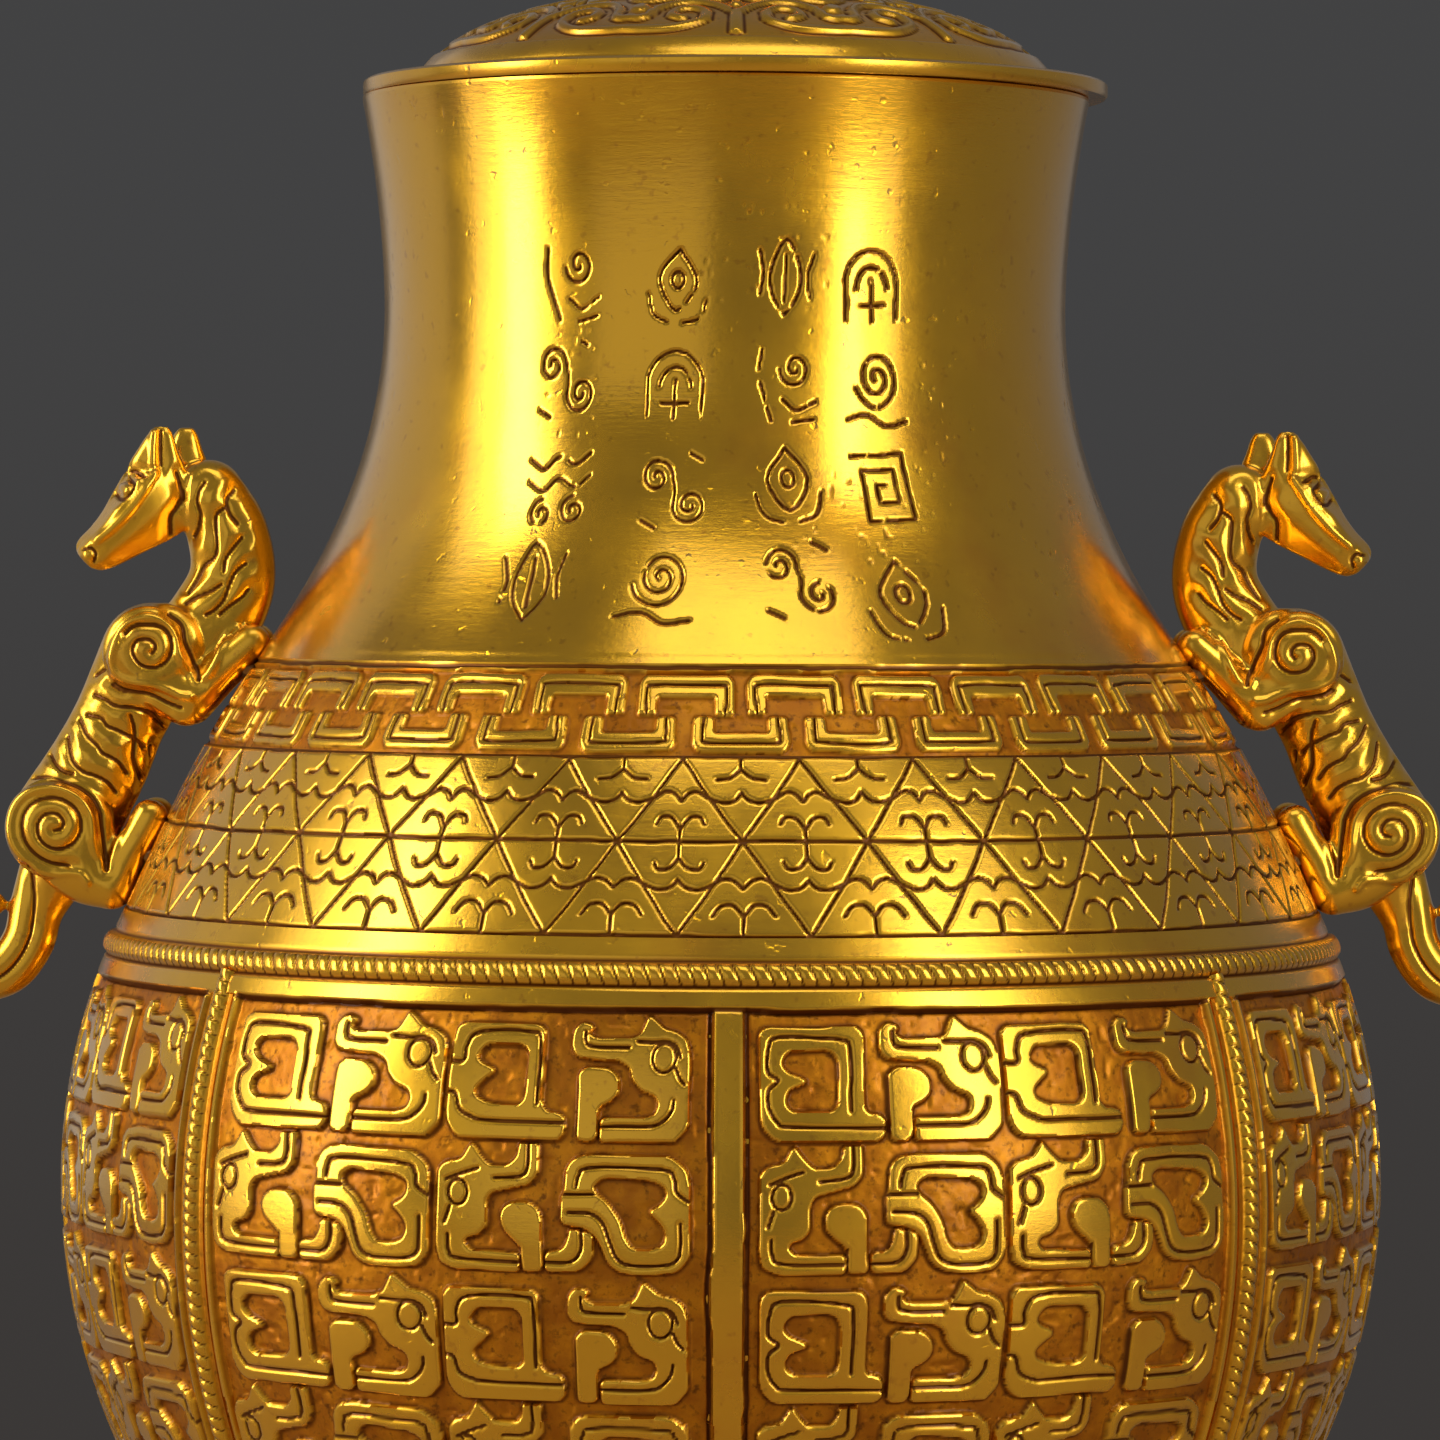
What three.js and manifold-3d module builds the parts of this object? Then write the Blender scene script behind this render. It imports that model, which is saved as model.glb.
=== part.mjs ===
// Gilt bronze wine bottle (hu) with a lid and two climbing beast handles.
// Millimetres, +Z up, origin under the centre of the foot. The front looks along -Y
// and the handles stand on the X axis.

import * as THREE from "three";
import { ConvexGeometry } from "three/addons/geometries/ConvexGeometry.js";
import { mergeVertices } from "three/addons/utils/BufferGeometryUtils.js";
import Module from "manifold-3d";

const wasm = await Module();
wasm.setup();

// Driving dimensions of the bottle
const wall = 3.5;
const mouthRadius = 72.6;
const neckWaistRadius = 67.9;
const neckBaseRadius = 91.2;
const bellyRadius = 131.6;
const toeRadius = 73.8;
const footHeight = 24;
const bellyHeight = 130;
const shoulderHeight = 182;
const neckBaseHeight = 236.5;
const neckWaistHeight = 304;
const mouthHeight = 346;
const neckFlarePower = 1.8;
const neckSweepPower = 2.05;

// Foot ring and the floor disc that is let in above it
const footLedgeRadius = 60;
const footStep = 2.2;
const footSpread = 88;
const plinthHeight = 7;
const footWall = 4.5;
const ledgeThickness = 3;
const floorThickness = 3;
const seatClearance = 0.4;

// Lid
const flangeOverhang = 1.6;
const flangeThickness = 3;
const domeRadius = 63.5;
const domeRise = 18.6;
const domeFlatness = 2.4;
const domeShoulder = 0.62;
const lidWall = 3;
const edgeBreak = 0.8;
const lidShift = 1.9;
const collarPlay = 2.5;
const collarDepth = 14;
const collarWall = 3;
const knobSeatRadius = 18;
const knobBaseRadius = 16.4;
const knobNeckRadius = 11.5;
const knobTopRadius = 19.5;
const knobHeight = 17;
const knobWall = 3.2;
const knobFloor = 4.2;
const knobSeatLip = 1.4;
const rivetRadius = 3;
const rivetHeadRadius = 6.5;
const rivetHeadThickness = 2;

// Beast handles: how high the heels stand, and how far the legs spread each side of the middle
const heelHeight = 187.5;
const foreLegSpread = 6.4;
const hindLegSpread = 7;
const castingGap = 0.3;

// Tenon pins through the wall that hold the beasts' legs
const pinRadius = 1.8;
const pinReach = 4.4;
const pinHeadRadius = 3.4;
const pinHeadThickness = 1.6;
const pinHeadGap = 0.45;
const pinClearance = 0.3;
const forePinRise = 44;
const hindPinRise = 7;

// Cast relief of the belly: sunk panels between level strips. Distances round the bottle are
// measured at the relief's own radius, from the middle of the front.
const reliefRadius = 130;
const reliefDepth = 1.2;
const panelTop = 171;
const rowPitch = 24.3;
const rowSettle = 1;
const rowGap = 3.4;
const dragonRows = 5;
const dragonSpan = 46;
const dragonGap = 1;
const frontStripMiddle = 1.3;
const plainStripWidth = 5.7;
const ropeStripWidth = 11.2;
const frontMargin = 2.7;
const innerMargin = 4;
const sideMargin = 1.3;

// Share of each panel's width at which its two dragons meet, from the left side to the right
const meetingShares = [0.508, 0.509, 0.485, 0.492];

// Rope mouldings cast on the belly: one round the shoulder, four down the strips
const ropeRise = 7;
const ropeHeight = panelTop + ropeRise;
const ropeWidth = 4.2;
const ropeProud = 1.1;
const ropeAzimuth = 49.3;
const ropeTail = 2;

// Facets of the round pieces
const bodySides = 64;
const ringSides = 48;
const smallSides = 8;

// Two places closer than this are the same
const tinyLength = 0.001;

const rad = THREE.MathUtils.degToRad;

// The belly is the part of an ellipsoid that passes through the toe, where the wall meets the foot
const bellyHalfHeight = (bellyHeight - footHeight) / Math.sqrt(1 - (toeRadius / bellyRadius) ** 2);

function bellyCurve(z) {
  return bellyRadius * Math.sqrt(1 - ((z - bellyHeight) / bellyHalfHeight) ** 2);
}

function bellySlope(z) {
  return (-(bellyRadius ** 2) * (z - bellyHeight)) / (bellyHalfHeight ** 2 * bellyCurve(z));
}

// Outer radius of the bottle at a height: belly, smooth shoulder, and the neck's two sweeps
function outerRadius(z) {
  if (z >= neckWaistHeight) {
    const t = (z - neckWaistHeight) / (mouthHeight - neckWaistHeight);
    return neckWaistRadius + (mouthRadius - neckWaistRadius) * t ** neckFlarePower;
  }
  const sweepDrop = neckWaistHeight - neckBaseHeight;
  const sweepGrowth = neckBaseRadius - neckWaistRadius;
  if (z >= neckBaseHeight) {
    return neckWaistRadius + sweepGrowth * ((neckWaistHeight - z) / sweepDrop) ** neckSweepPower;
  }
  if (z >= shoulderHeight) {
    const span = neckBaseHeight - shoulderHeight;
    const t = (z - shoulderHeight) / span;
    const lowSlope = bellySlope(shoulderHeight) * span;
    const highSlope = (-sweepGrowth * neckSweepPower * span) / sweepDrop;
    return (
      (2 * t ** 3 - 3 * t ** 2 + 1) * bellyCurve(shoulderHeight) +
      (t ** 3 - 2 * t ** 2 + t) * lowSlope +
      (3 * t ** 2 - 2 * t ** 3) * neckBaseRadius +
      (t ** 3 - t ** 2) * highSlope
    );
  }
  return bellyCurve(z);
}

// Unit normal of the bottle's outside at a height, as radial and vertical parts
function outerNormal(z) {
  const step = 0.05;
  const slope = (outerRadius(z + step) - outerRadius(z - step)) / (2 * step);
  const length = Math.hypot(1, slope);
  return { out: 1 / length, up: -slope / length };
}

// A point at a distance outside the wall, measured square to it
function offsetPoint(z, distance) {
  const n = outerNormal(z);
  return new THREE.Vector2(outerRadius(z) + n.out * distance, z + n.up * distance);
}

// A point of a profile, turned so far round the bottle from the middle of the front
function turnedPoint(p, u) {
  const angle = u / reliefRadius - Math.PI / 2;
  return [p.x * Math.cos(angle), p.x * Math.sin(angle), p.y];
}

// A point of the skin, at this place and level
function skinPoint(place, level) {
  return turnedPoint(offsetPoint(place.y, level), place.x);
}

function evenly(from, to, steps) {
  return Array.from({ length: steps + 1 }, (_, i) => from + ((to - from) * i) / steps);
}

// Height of the place that lies so far down the wall from the panels' top
function heightDown(distance) {
  const steps = Math.ceil(distance);
  let z = panelTop;
  for (let i = 0; i < steps; i++) z -= (distance / steps) * outerNormal(z).out;
  return z;
}

// Lines between the rows of dragons, from the top, each as a distance down the wall
const rowLines = evenly(0, dragonRows, dragonRows).map((k) => (k ? k * rowPitch + rowSettle : 0));

// Heights of those lines and of the middles between them, from the foot up
const panelHeights = withMiddles(rowLines).map(heightDown).reverse();

function places(points) {
  return points.map(([x, y]) => new THREE.Vector2(x, y));
}

// A dragon's two blocks in its own span: the frame round its heart, and its head
const uprightFrame = {
  outline: places([[0.2, 0.2], [10, 0.2], [19.6, 0.2], [19.6, 20.9], [10, 20.9], [0.2, 20.9]]),
  heart: places([[4.6, 5.5], [14.8, 5.5], [14.8, 16.6], [4.6, 16.4], [9.4, 10.9]]),
};
const uprightHead = {
  outline: places([[24, 0], [45.5, 0.6], [45.6, 18.3], [39, 22.2], [34.5, 18.8], [22.8, 20.8], [22.6, 15]]),
};
const lowHead = {
  outline: places([[0.8, 0.6], [19.8, 0], [19.6, 12.4], [18.7, 22.2], [13.5, 19.6], [6.4, 22], [0.2, 18.5]]),
};
const lowFrame = {
  outline: places([[33, 0.6], [45.9, 0.6], [45.9, 17], [43, 21.3], [24.6, 21.3], [23.4, 9], [29.2, 7.4]]),
  heart: places([[35.4, 4.6], [41.6, 4.8], [38.8, 11.2], [41.8, 16.4], [29.3, 16.6]]),
};

// The blocks meet midway between the frames' and the heads' nearest edges
const reach = (block, pick) => pick(...block.outline.map((p) => p.x));
const leftBlocksEnd = Math.max(reach(uprightFrame, Math.max), reach(lowHead, Math.max));
const rightBlocksStart = Math.min(reach(uprightHead, Math.min), reach(lowFrame, Math.min));
const blockSplit = (leftBlocksEnd + rightBlocksStart) / 2;

// The front half's panels, from the left side to the right
const halfRound = Math.PI * reliefRadius;
const quarter = halfRound / 2;
const ropePlace = rad(ropeAzimuth) * reliefRadius;
const halfPlain = plainStripWidth / 2;
const halfRopeStrip = ropeStripWidth / 2;
const panels = [
  [-quarter + halfPlain, -ropePlace - halfRopeStrip, sideMargin, sideMargin],
  [-ropePlace + halfRopeStrip, frontStripMiddle - halfPlain, frontMargin, innerMargin],
  [frontStripMiddle + halfPlain, ropePlace - halfRopeStrip, frontMargin, frontMargin],
  [ropePlace + halfRopeStrip, quarter - halfPlain, sideMargin, sideMargin],
].map((edges, i) => panel(...edges, meetingShares[i]));

// Facet lines of the outside: the panels' lines and the ropes' edges. The back repeats the front.
const ropeLines = [-1, 1].flatMap((side) =>
  [-1, 0, 1].map((share) => side * ropePlace + (share * ropeWidth) / 2),
);
const frontLines = [...ropeLines, ...panels.flatMap((p) => p.lines)].sort((a, b) => a - b);
const skinLines = [...frontLines, ...frontLines.map((u) => u + halfRound)];

function withMiddles(lines) {
  return lines.flatMap((line, i) => (i ? [(lines[i - 1] + line) / 2, line] : [line]));
}

// A sunk panel: its two dragons, and the lines between and through its four cells
function panel(from, to, leftMargin, rightMargin, meeting) {
  const meet = from + meeting * (to - from);
  const dragons = [
    [from + leftMargin, meet - dragonGap / 2],
    [meet + dragonGap / 2, to - rightMargin],
  ];
  const splits = dragons.map((dragon) => alongDragon(dragon, blockSplit));
  return { from, to, dragons, lines: withMiddles([from, splits[0], meet, splits[1], to]) };
}

function alongDragon([start, end], x) {
  return start + (x / dragonSpan) * (end - start);
}

// Heights at which the bottle's profile is drawn
function profileHeights() {
  const foot = panelHeights[0] - ropeTail;
  const plain = [
    ...evenly(footHeight, foot, 2),
    ...[-1, -0.5, 0.5, 1].map((share) => ropeHeight + (share * ropeWidth) / 2),
    ...evenly(shoulderHeight, neckBaseHeight, 3),
    ...evenly(neckBaseHeight, neckWaistHeight, 4).slice(1),
    ...evenly(neckWaistHeight, mouthHeight, 2).slice(1),
  ];
  const outOfPanels = plain.filter((z) => z <= foot || z > panelTop + ropeTail);
  return [...outOfPanels, ...panelHeights].sort((a, b) => a - b);
}

// How far the ropes, down the belly and round the shoulder, stand proud at a place
function ropeLevel(u, z) {
  const half = ropeWidth / 2 + tinyLength;
  const bulge = (away) => (Math.abs(away) < half ? ropeProud * Math.sqrt(1 - (away / half) ** 2) : 0);
  const acrossRope = Math.abs(frontPlace(u)) - ropePlace;
  const down = z < ropeHeight && z > panelHeights[0] - tinyLength ? bulge(acrossRope) : 0;
  return Math.max(down, bulge(z - ropeHeight));
}

// The same place on the front half
function frontPlace(u) {
  return ((u + quarter) % halfRound) - quarter;
}

// LatheGeometry turns about Y, so its axis is stood up along Z
function latheSolid(points, sides) {
  const geometry = new THREE.LatheGeometry([...points, points[0].clone()], sides);
  geometry.rotateX(Math.PI / 2);
  return toSolid(geometry);
}

function pt(r, z) {
  return new THREE.Vector2(r, z);
}

function meshSolid(positions, triangles) {
  return new wasm.Manifold(
    new wasm.Mesh({ numProp: 3, vertProperties: positions, triVerts: new Uint32Array(triangles) }),
  );
}

// A closed three.js geometry as a solid that can be joined and cut
function toSolid(geometry) {
  const bare = geometry.index ? geometry.toNonIndexed() : geometry.clone();
  const merged = mergeVertices(
    new THREE.BufferGeometry().setAttribute("position", bare.getAttribute("position")),
    1e-4,
  );
  const index = merged.index.array;
  const positions = merged.attributes.position.array;
  const triangles = [];
  for (let i = 0; i < index.length; i += 3) {
    const [a, b, c] = [index[i], index[i + 1], index[i + 2]];
    if (a !== b && b !== c && c !== a) triangles.push(a, b, c);
  }
  const solid = meshSolid(positions, triangles);
  return solid.volume() > 0 ? solid : meshSolid(positions, triangles.reverse());
}

function toGeometry(solid) {
  const mesh = solid.getMesh();
  const positions = new Float32Array(mesh.numVert * 3);
  for (let i = 0; i < mesh.numVert; i++) {
    positions.set(mesh.vertProperties.subarray(i * mesh.numProp, i * mesh.numProp + 3), i * 3);
  }
  const geometry = new THREE.BufferGeometry();
  geometry.setAttribute("position", new THREE.BufferAttribute(positions, 3));
  geometry.setIndex(new THREE.BufferAttribute(new Uint32Array(mesh.triVerts), 1));
  geometry.computeVertexNormals();
  return geometry;
}

function unite(solids) {
  return solids.reduce((sum, next) => sum.add(next));
}

// A profile turned round the axis, with facets along the skin's lines
function turnedSolid(profile) {
  const skin = new Skin();
  const rings = profile.map((p) => skinLines.map((u) => turnedPoint(p, u)));
  rings.forEach((low, i) => {
    const high = rings[(i + 1) % rings.length];
    low.forEach((a, j) => {
      const k = (j + 1) % low.length;
      skin.quad(a, low[k], high[k], high[j]);
    });
  });
  return skin.solid();
}

// The solid space that the bottle takes up, grown by a gap: what touches the outside is cut by it
function bottleSpace(gap) {
  const outside = profileHeights().map((z) => offsetPoint(z, gap));
  return turnedSolid([pt(0, footHeight), ...outside, pt(0, mouthHeight)]);
}

// Faces of the bottle's skin, collected as triangles that are seen from outside
class Skin {
  corners = [];

  triangle(a, b, c) {
    this.corners.push(...a, ...b, ...c);
  }

  quad(a, b, c, d) {
    this.triangle(a, b, c);
    this.triangle(a, c, d);
  }

  // A form on the wall at one level, less its holes
  sheet(outline, holes, level) {
    const places = [outline, ...holes].flat();
    for (const face of THREE.ShapeUtils.triangulateShape(outline, holes)) {
      this.triangle(...face.map((i) => skinPoint(places[i], level)));
    }
  }

  // The edge of a form that stands up from one level to another; a pit's edge goes down instead
  edge(outline, from, to) {
    outline.forEach((a, i) => {
      const b = outline[(i + 1) % outline.length];
      this.quad(skinPoint(a, from), skinPoint(b, from), skinPoint(b, to), skinPoint(a, to));
    });
  }

  solid() {
    const geometry = new THREE.BufferGeometry();
    geometry.setAttribute("position", new THREE.Float32BufferAttribute(this.corners, 3));
    return toSolid(geometry);
  }
}

// One cell of a panel: its ground, and the block that stands on it
function addCell(skin, [left, centre, right], row, dragon, shift, block) {
  const foot = rowLines[row + 1] - rowGap / 2;
  const onWall = (p) => new THREE.Vector2(shift + alongDragon(dragon, p.x), heightDown(foot - p.y));
  const [top, middle, bottom] = withMiddles([rowLines[row], rowLines[row + 1]]).map(heightDown);
  const cell = [
    [left, bottom],
    [centre, bottom],
    [right, bottom],
    [right, middle],
    [right, top],
    [centre, top],
    [left, top],
    [left, middle],
  ];
  const outline = block.outline.map(onWall);
  const hearts = block.heart ? [block.heart.map(onWall)] : [];
  skin.sheet(places(cell), [outline], -reliefDepth);
  skin.edge(outline, -reliefDepth, 0);
  skin.sheet(outline, hearts, 0);
  for (const heart of hearts) {
    skin.edge(heart, 0, -reliefDepth);
    skin.sheet(heart, [], -reliefDepth);
  }
}

// The edge round a sunk panel
function addPanelEdge(skin, lines) {
  const [low, high] = [panelHeights[0], panelHeights[panelHeights.length - 1]];
  const [left, right] = [lines[0], lines[lines.length - 1]];
  const inner = panelHeights.slice(1, -1);
  const rim = [
    ...lines.map((u) => [u, low]),
    ...inner.map((z) => [right, z]),
    ...lines.toReversed().map((u) => [u, high]),
    ...inner.toReversed().map((z) => [left, z]),
  ];
  skin.edge(places(rim), 0, -reliefDepth);
}

function addPanel(skin, { dragons, lines }, shift) {
  const moved = lines.map((u) => u + shift);
  addPanelEdge(skin, moved);
  for (let row = 0; row < dragonRows; row++) {
    const blocks = row % 2 ? [lowHead, lowFrame] : [uprightFrame, uprightHead];
    for (const cell of [0, 1, 2, 3]) {
      const cellLines = moved.slice(2 * cell, 2 * cell + 3);
      addCell(skin, cellLines, row, dragons[Math.floor(cell / 2)], shift, blocks[cell % 2]);
    }
  }
}

function isSunk(u, z) {
  const place = frontPlace(u);
  return panels.some((p) => place > p.from && place < p.to) && z > panelHeights[0] && z < panelTop;
}

// The bottle's outside as a full solid, with its ropes and its sunk panels
function outsideSolid() {
  const skin = new Skin();
  const heights = profileHeights();
  const corner = (u, z) => skinPoint(new THREE.Vector2(u, z), ropeLevel(u, z));
  skinLines.forEach((left, j) => {
    const right = j + 1 < skinLines.length ? skinLines[j + 1] : skinLines[0] + 2 * halfRound;
    heights.slice(1).forEach((high, i) => {
      const low = heights[i];
      if (isSunk((left + right) / 2, (low + high) / 2)) return;
      skin.quad(corner(left, low), corner(right, low), corner(right, high), corner(left, high));
    });
    skin.triangle([0, 0, footHeight], corner(right, footHeight), corner(left, footHeight));
    skin.triangle([0, 0, mouthHeight], corner(left, mouthHeight), corner(right, mouthHeight));
  });
  for (const shift of [0, halfRound]) panels.forEach((p) => addPanel(skin, p, shift));
  return skin.solid();
}

function innerPoint(z) {
  return offsetPoint(z, -wall);
}

function vesselBody() {
  const inside = [
    ...evenly(footHeight, shoulderHeight, 5),
    ...evenly(shoulderHeight, neckBaseHeight, 2).slice(1),
    ...evenly(neckBaseHeight, neckWaistHeight, 3).slice(1),
  ].map(innerPoint);
  const mouth = [pt(mouthRadius - wall, mouthHeight), pt(0, mouthHeight)];
  const cavity = latheSolid([pt(0, footHeight), innerToe(), ...inside, ...mouth], ringSides);
  return outsideSolid().subtract(cavity);
}

function footRing() {
  const top = outerRadius(footHeight) + footStep;
  const curve = (t) => pt(
    footSpread - (footSpread - top) * Math.sin((t * Math.PI) / 2),
    plinthHeight + (footHeight - plinthHeight) * t,
  );
  const outside = evenly(0, 1, 5).map(curve);
  const inside = outside.map((p) => pt(p.x - footWall, Math.min(p.y, footHeight - ledgeThickness)));
  return latheSolid(
    [
      pt(footSpread, 0),
      ...outside,
      pt(footLedgeRadius, footHeight),
      pt(footLedgeRadius, footHeight - ledgeThickness),
      ...inside.slice(0, -1).reverse(),
      pt(footSpread - footWall, 0),
    ],
    bodySides,
  );
}

// Where the inside of the wall meets the foot's ledge
function innerToe() {
  const low = innerPoint(footHeight);
  return pt(low.x + (footHeight - low.y) * bellySlope(footHeight), footHeight);
}

// The floor's edge slants like the wall that it lies in
function floorDisc() {
  const radius = innerToe().x - seatClearance;
  const slope = bellySlope(footHeight);
  const top = footHeight + floorThickness;
  return latheSolid(
    [pt(0, footHeight), pt(radius, footHeight), pt(radius + floorThickness * slope, top), pt(0, top)],
    ringSides,
  );
}

// The lid's dome over a share of its span, 0 at the middle and 1 at the foot of the dome
function domeHeight(share) {
  return mouthHeight + flangeThickness + domeRise * (1 - share ** domeFlatness) ** domeShoulder;
}

const knobSeatHeight = domeHeight(knobSeatRadius / domeRadius);

function lidCover() {
  const flangeRadius = mouthRadius + flangeOverhang;
  const shares = evenly(knobSeatRadius / domeRadius, 0.985, 6);
  const dome = shares.map((s) => pt(domeRadius * s, domeHeight(s)));
  const hollow = shares.map((s) => pt((domeRadius - lidWall) * s, domeHeight(s) - lidWall));
  const bore = rivetRadius + pinClearance;
  return latheSolid(
    [
      pt(bore, knobSeatHeight),
      ...dome,
      pt(domeRadius, mouthHeight + flangeThickness),
      pt(flangeRadius - edgeBreak, mouthHeight + flangeThickness),
      pt(flangeRadius, mouthHeight + flangeThickness - edgeBreak),
      pt(flangeRadius, mouthHeight),
      pt(domeRadius - lidWall, mouthHeight),
      ...hollow.reverse(),
      pt(bore, hollow[hollow.length - 1].y),
    ],
    ringSides,
  );
}

const collarRadius = innerPoint(mouthHeight - collarDepth).x - collarPlay;

function lidCollar() {
  const low = mouthHeight - collarDepth;
  return latheSolid(
    [
      pt(collarRadius - collarWall, low),
      pt(collarRadius - edgeBreak, low),
      pt(collarRadius, low + edgeBreak),
      pt(collarRadius, mouthHeight),
      pt(collarRadius - collarWall, mouthHeight),
    ],
    ringSides,
  );
}

function lidKnob() {
  const base = knobSeatHeight;
  const top = base + knobHeight;
  const cupFloor = base + knobFloor;
  const bore = rivetRadius + pinClearance;
  const rise = knobHeight - 2 * knobSeatLip - knobWall / 2;
  const flare = evenly(0, 1, 4).map((t) =>
    pt(knobNeckRadius + (knobTopRadius - knobNeckRadius) * t ** 1.6, base + 2 * knobSeatLip + rise * t),
  );
  return latheSolid(
    [
      pt(bore, base),
      pt(knobBaseRadius, base),
      pt(knobBaseRadius, base + knobSeatLip),
      ...flare,
      pt(knobTopRadius, top),
      pt(knobTopRadius - knobWall, top),
      pt(knobNeckRadius - edgeBreak, cupFloor),
      pt(bore, cupFloor),
    ],
    ringSides,
  );
}

function knobRivet() {
  const low = knobSeatHeight - lidWall - castingGap;
  const high = knobSeatHeight + knobFloor + castingGap;
  return latheSolid(
    [
      pt(0, low - rivetHeadThickness),
      pt(rivetHeadRadius - 2 * edgeBreak, low - rivetHeadThickness),
      pt(rivetHeadRadius, low),
      pt(rivetRadius, low),
      pt(rivetRadius, high),
      pt(rivetHeadRadius, high),
      pt(rivetHeadRadius - 2 * edgeBreak, high + rivetHeadThickness),
      pt(0, high + rivetHeadThickness),
    ],
    smallSides,
  );
}

// A beast's station: how far out of the wall, how high above the heels, how far towards the side
// that is meant, and its half height and half width
function station(out, rise, across, half, halfWidth) {
  return { out, rise, across, half, halfWidth };
}

const neckAnchorRise = 50;

// Below the neck the beast follows the wall, and its neck and head stand on the front paws' place
function stationCentre(s, side) {
  const z = heelHeight + s.rise;
  const wallHeight = Math.min(z, heelHeight + neckAnchorRise);
  return new THREE.Vector3(side * (outerRadius(wallHeight) + s.out), s.across, z);
}

// One smooth run of flesh through two stations
function flesh(a, b, side) {
  const points = [a, b].flatMap((s) => {
    const ball = new THREE.SphereGeometry(1, 8, 6);
    ball.scale(s.half, s.halfWidth, s.half);
    const centre = stationCentre(s, side);
    ball.translate(centre.x, centre.y, centre.z);
    const place = ball.getAttribute("position");
    return Array.from({ length: place.count }, (_, i) => new THREE.Vector3().fromBufferAttribute(place, i));
  });
  return toSolid(new ConvexGeometry(points));
}

function limb(stations, side) {
  return unite(stations.slice(1).map((s, i) => flesh(stations[i], s, side)));
}

const torso = [
  station(20.5, 47, 0, 10.2, 9),
  station(18.2, 34.5, 0, 9, 7.6),
  station(17.4, 25, 0, 9.6, 7.8),
  station(18.9, 13.5, 0, 10.4, 9),
];

const neck = [
  station(12.5, 49, 0, 9.6, 7.4),
  station(7.2, 61, 0, 8.4, 6.6),
  station(7.4, 71, -0.3, 7.6, 6),
  station(11.2, 79, -0.8, 6.8, 5.6),
];

const head = [
  station(17.8, 78.6, -1.2, 8.6, 6.6),
  station(22, 76.6, -2.2, 7.6, 6.4),
  station(27.2, 71.8, -3.8, 5.7, 4.8),
  station(32, 68, -5.4, 3.9, 3.7),
];

function ear(across) {
  return [station(18.6, 84, across, 3.4, 2.2), station(19.6, 91.4, across * 1.15, 1, 0.9)];
}

function foreLeg(across) {
  return [
    station(20.5, 48.4, across, 9, 4.4),
    station(8.2, 37.5, across * 1.1, 4.8, 3.6),
    station(2.9, 49.4, across * 1.1, 3.6, 3.2),
  ];
}

function hindLeg(across) {
  return [
    station(19.4, 12.6, across, 10.4, 4.6),
    station(4.2, 0.6, across * 1.1, 4.6, 3.8),
    station(2.9, 14.5, across * 1.1, 3.8, 3.3),
  ];
}

const tail = [
  station(15.5, 5.5, 0, 7, 5),
  station(15.5, -3.5, 0, 4.9, 4),
  station(14.8, -10.5, 0, 5, 4),
  station(17.4, -16, 0, 5, 4),
  station(23.5, -17.4, 0, 4.8, 3.8),
  station(28.5, -13, 0, 4.2, 3.4),
  station(29.6, -6.5, 0, 3.2, 2.8),
  station(26.4, -3, 0, 2.3, 2.2),
];

// A pin's frame: on the outside of the wall, pointing straight out of it
function pinPlace(side, rise, across) {
  const z = heelHeight + rise;
  const radius = outerRadius(z);
  const azimuth = Math.asin(across / radius);
  const n = outerNormal(z);
  const along = new THREE.Vector3(side * Math.cos(azimuth) * n.out, Math.sin(azimuth) * n.out, n.up);
  const turn = new THREE.Quaternion().setFromUnitVectors(new THREE.Vector3(0, 1, 0), along);
  const place = new THREE.Vector3(side * Math.cos(azimuth) * radius, Math.sin(azimuth) * radius, z);
  return new THREE.Matrix4().compose(place, turn, new THREE.Vector3(1, 1, 1));
}

// Each profile runs along its pin from inside the bottle to inside the leg
function turnedAlong(points, place) {
  const geometry = new THREE.LatheGeometry([...points, points[0].clone()], smallSides);
  geometry.applyMatrix4(place);
  return toSolid(geometry);
}

function pinSolid(place) {
  const seat = -wall - pinHeadGap;
  const edge = edgeBreak / 2;
  return turnedAlong(
    [
      pt(0, seat - pinHeadThickness),
      pt(pinHeadRadius - edge, seat - pinHeadThickness),
      pt(pinHeadRadius, seat),
      pt(pinRadius, seat),
      pt(pinRadius, pinReach - edge),
      pt(pinRadius - edge, pinReach),
      pt(0, pinReach),
    ],
    place,
  );
}

// Flattens the curved wall under the head, so that the head never bites into it
function pinHole(place) {
  const radius = pinRadius + pinClearance;
  const seatRadius = pinHeadRadius + pinClearance;
  const deep = pinReach + pinClearance;
  const seat = pinClearance - wall - pinHeadGap;
  const inside = seat - 2 * wall;
  return turnedAlong(
    [
      pt(0, inside),
      pt(seatRadius, inside),
      pt(seatRadius, seat),
      pt(radius, seat),
      pt(radius, deep),
      pt(0, deep),
    ],
    place,
  );
}

// The four pins of one beast, by name
function pinPlaces(side) {
  return {
    forepaw_pin_front: pinPlace(side, forePinRise, -foreLegSpread * 1.1),
    forepaw_pin_back: pinPlace(side, forePinRise, foreLegSpread * 1.1),
    hindpaw_pin_front: pinPlace(side, hindPinRise, -hindLegSpread * 1.1),
    hindpaw_pin_back: pinPlace(side, hindPinRise, hindLegSpread * 1.1),
  };
}

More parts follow.
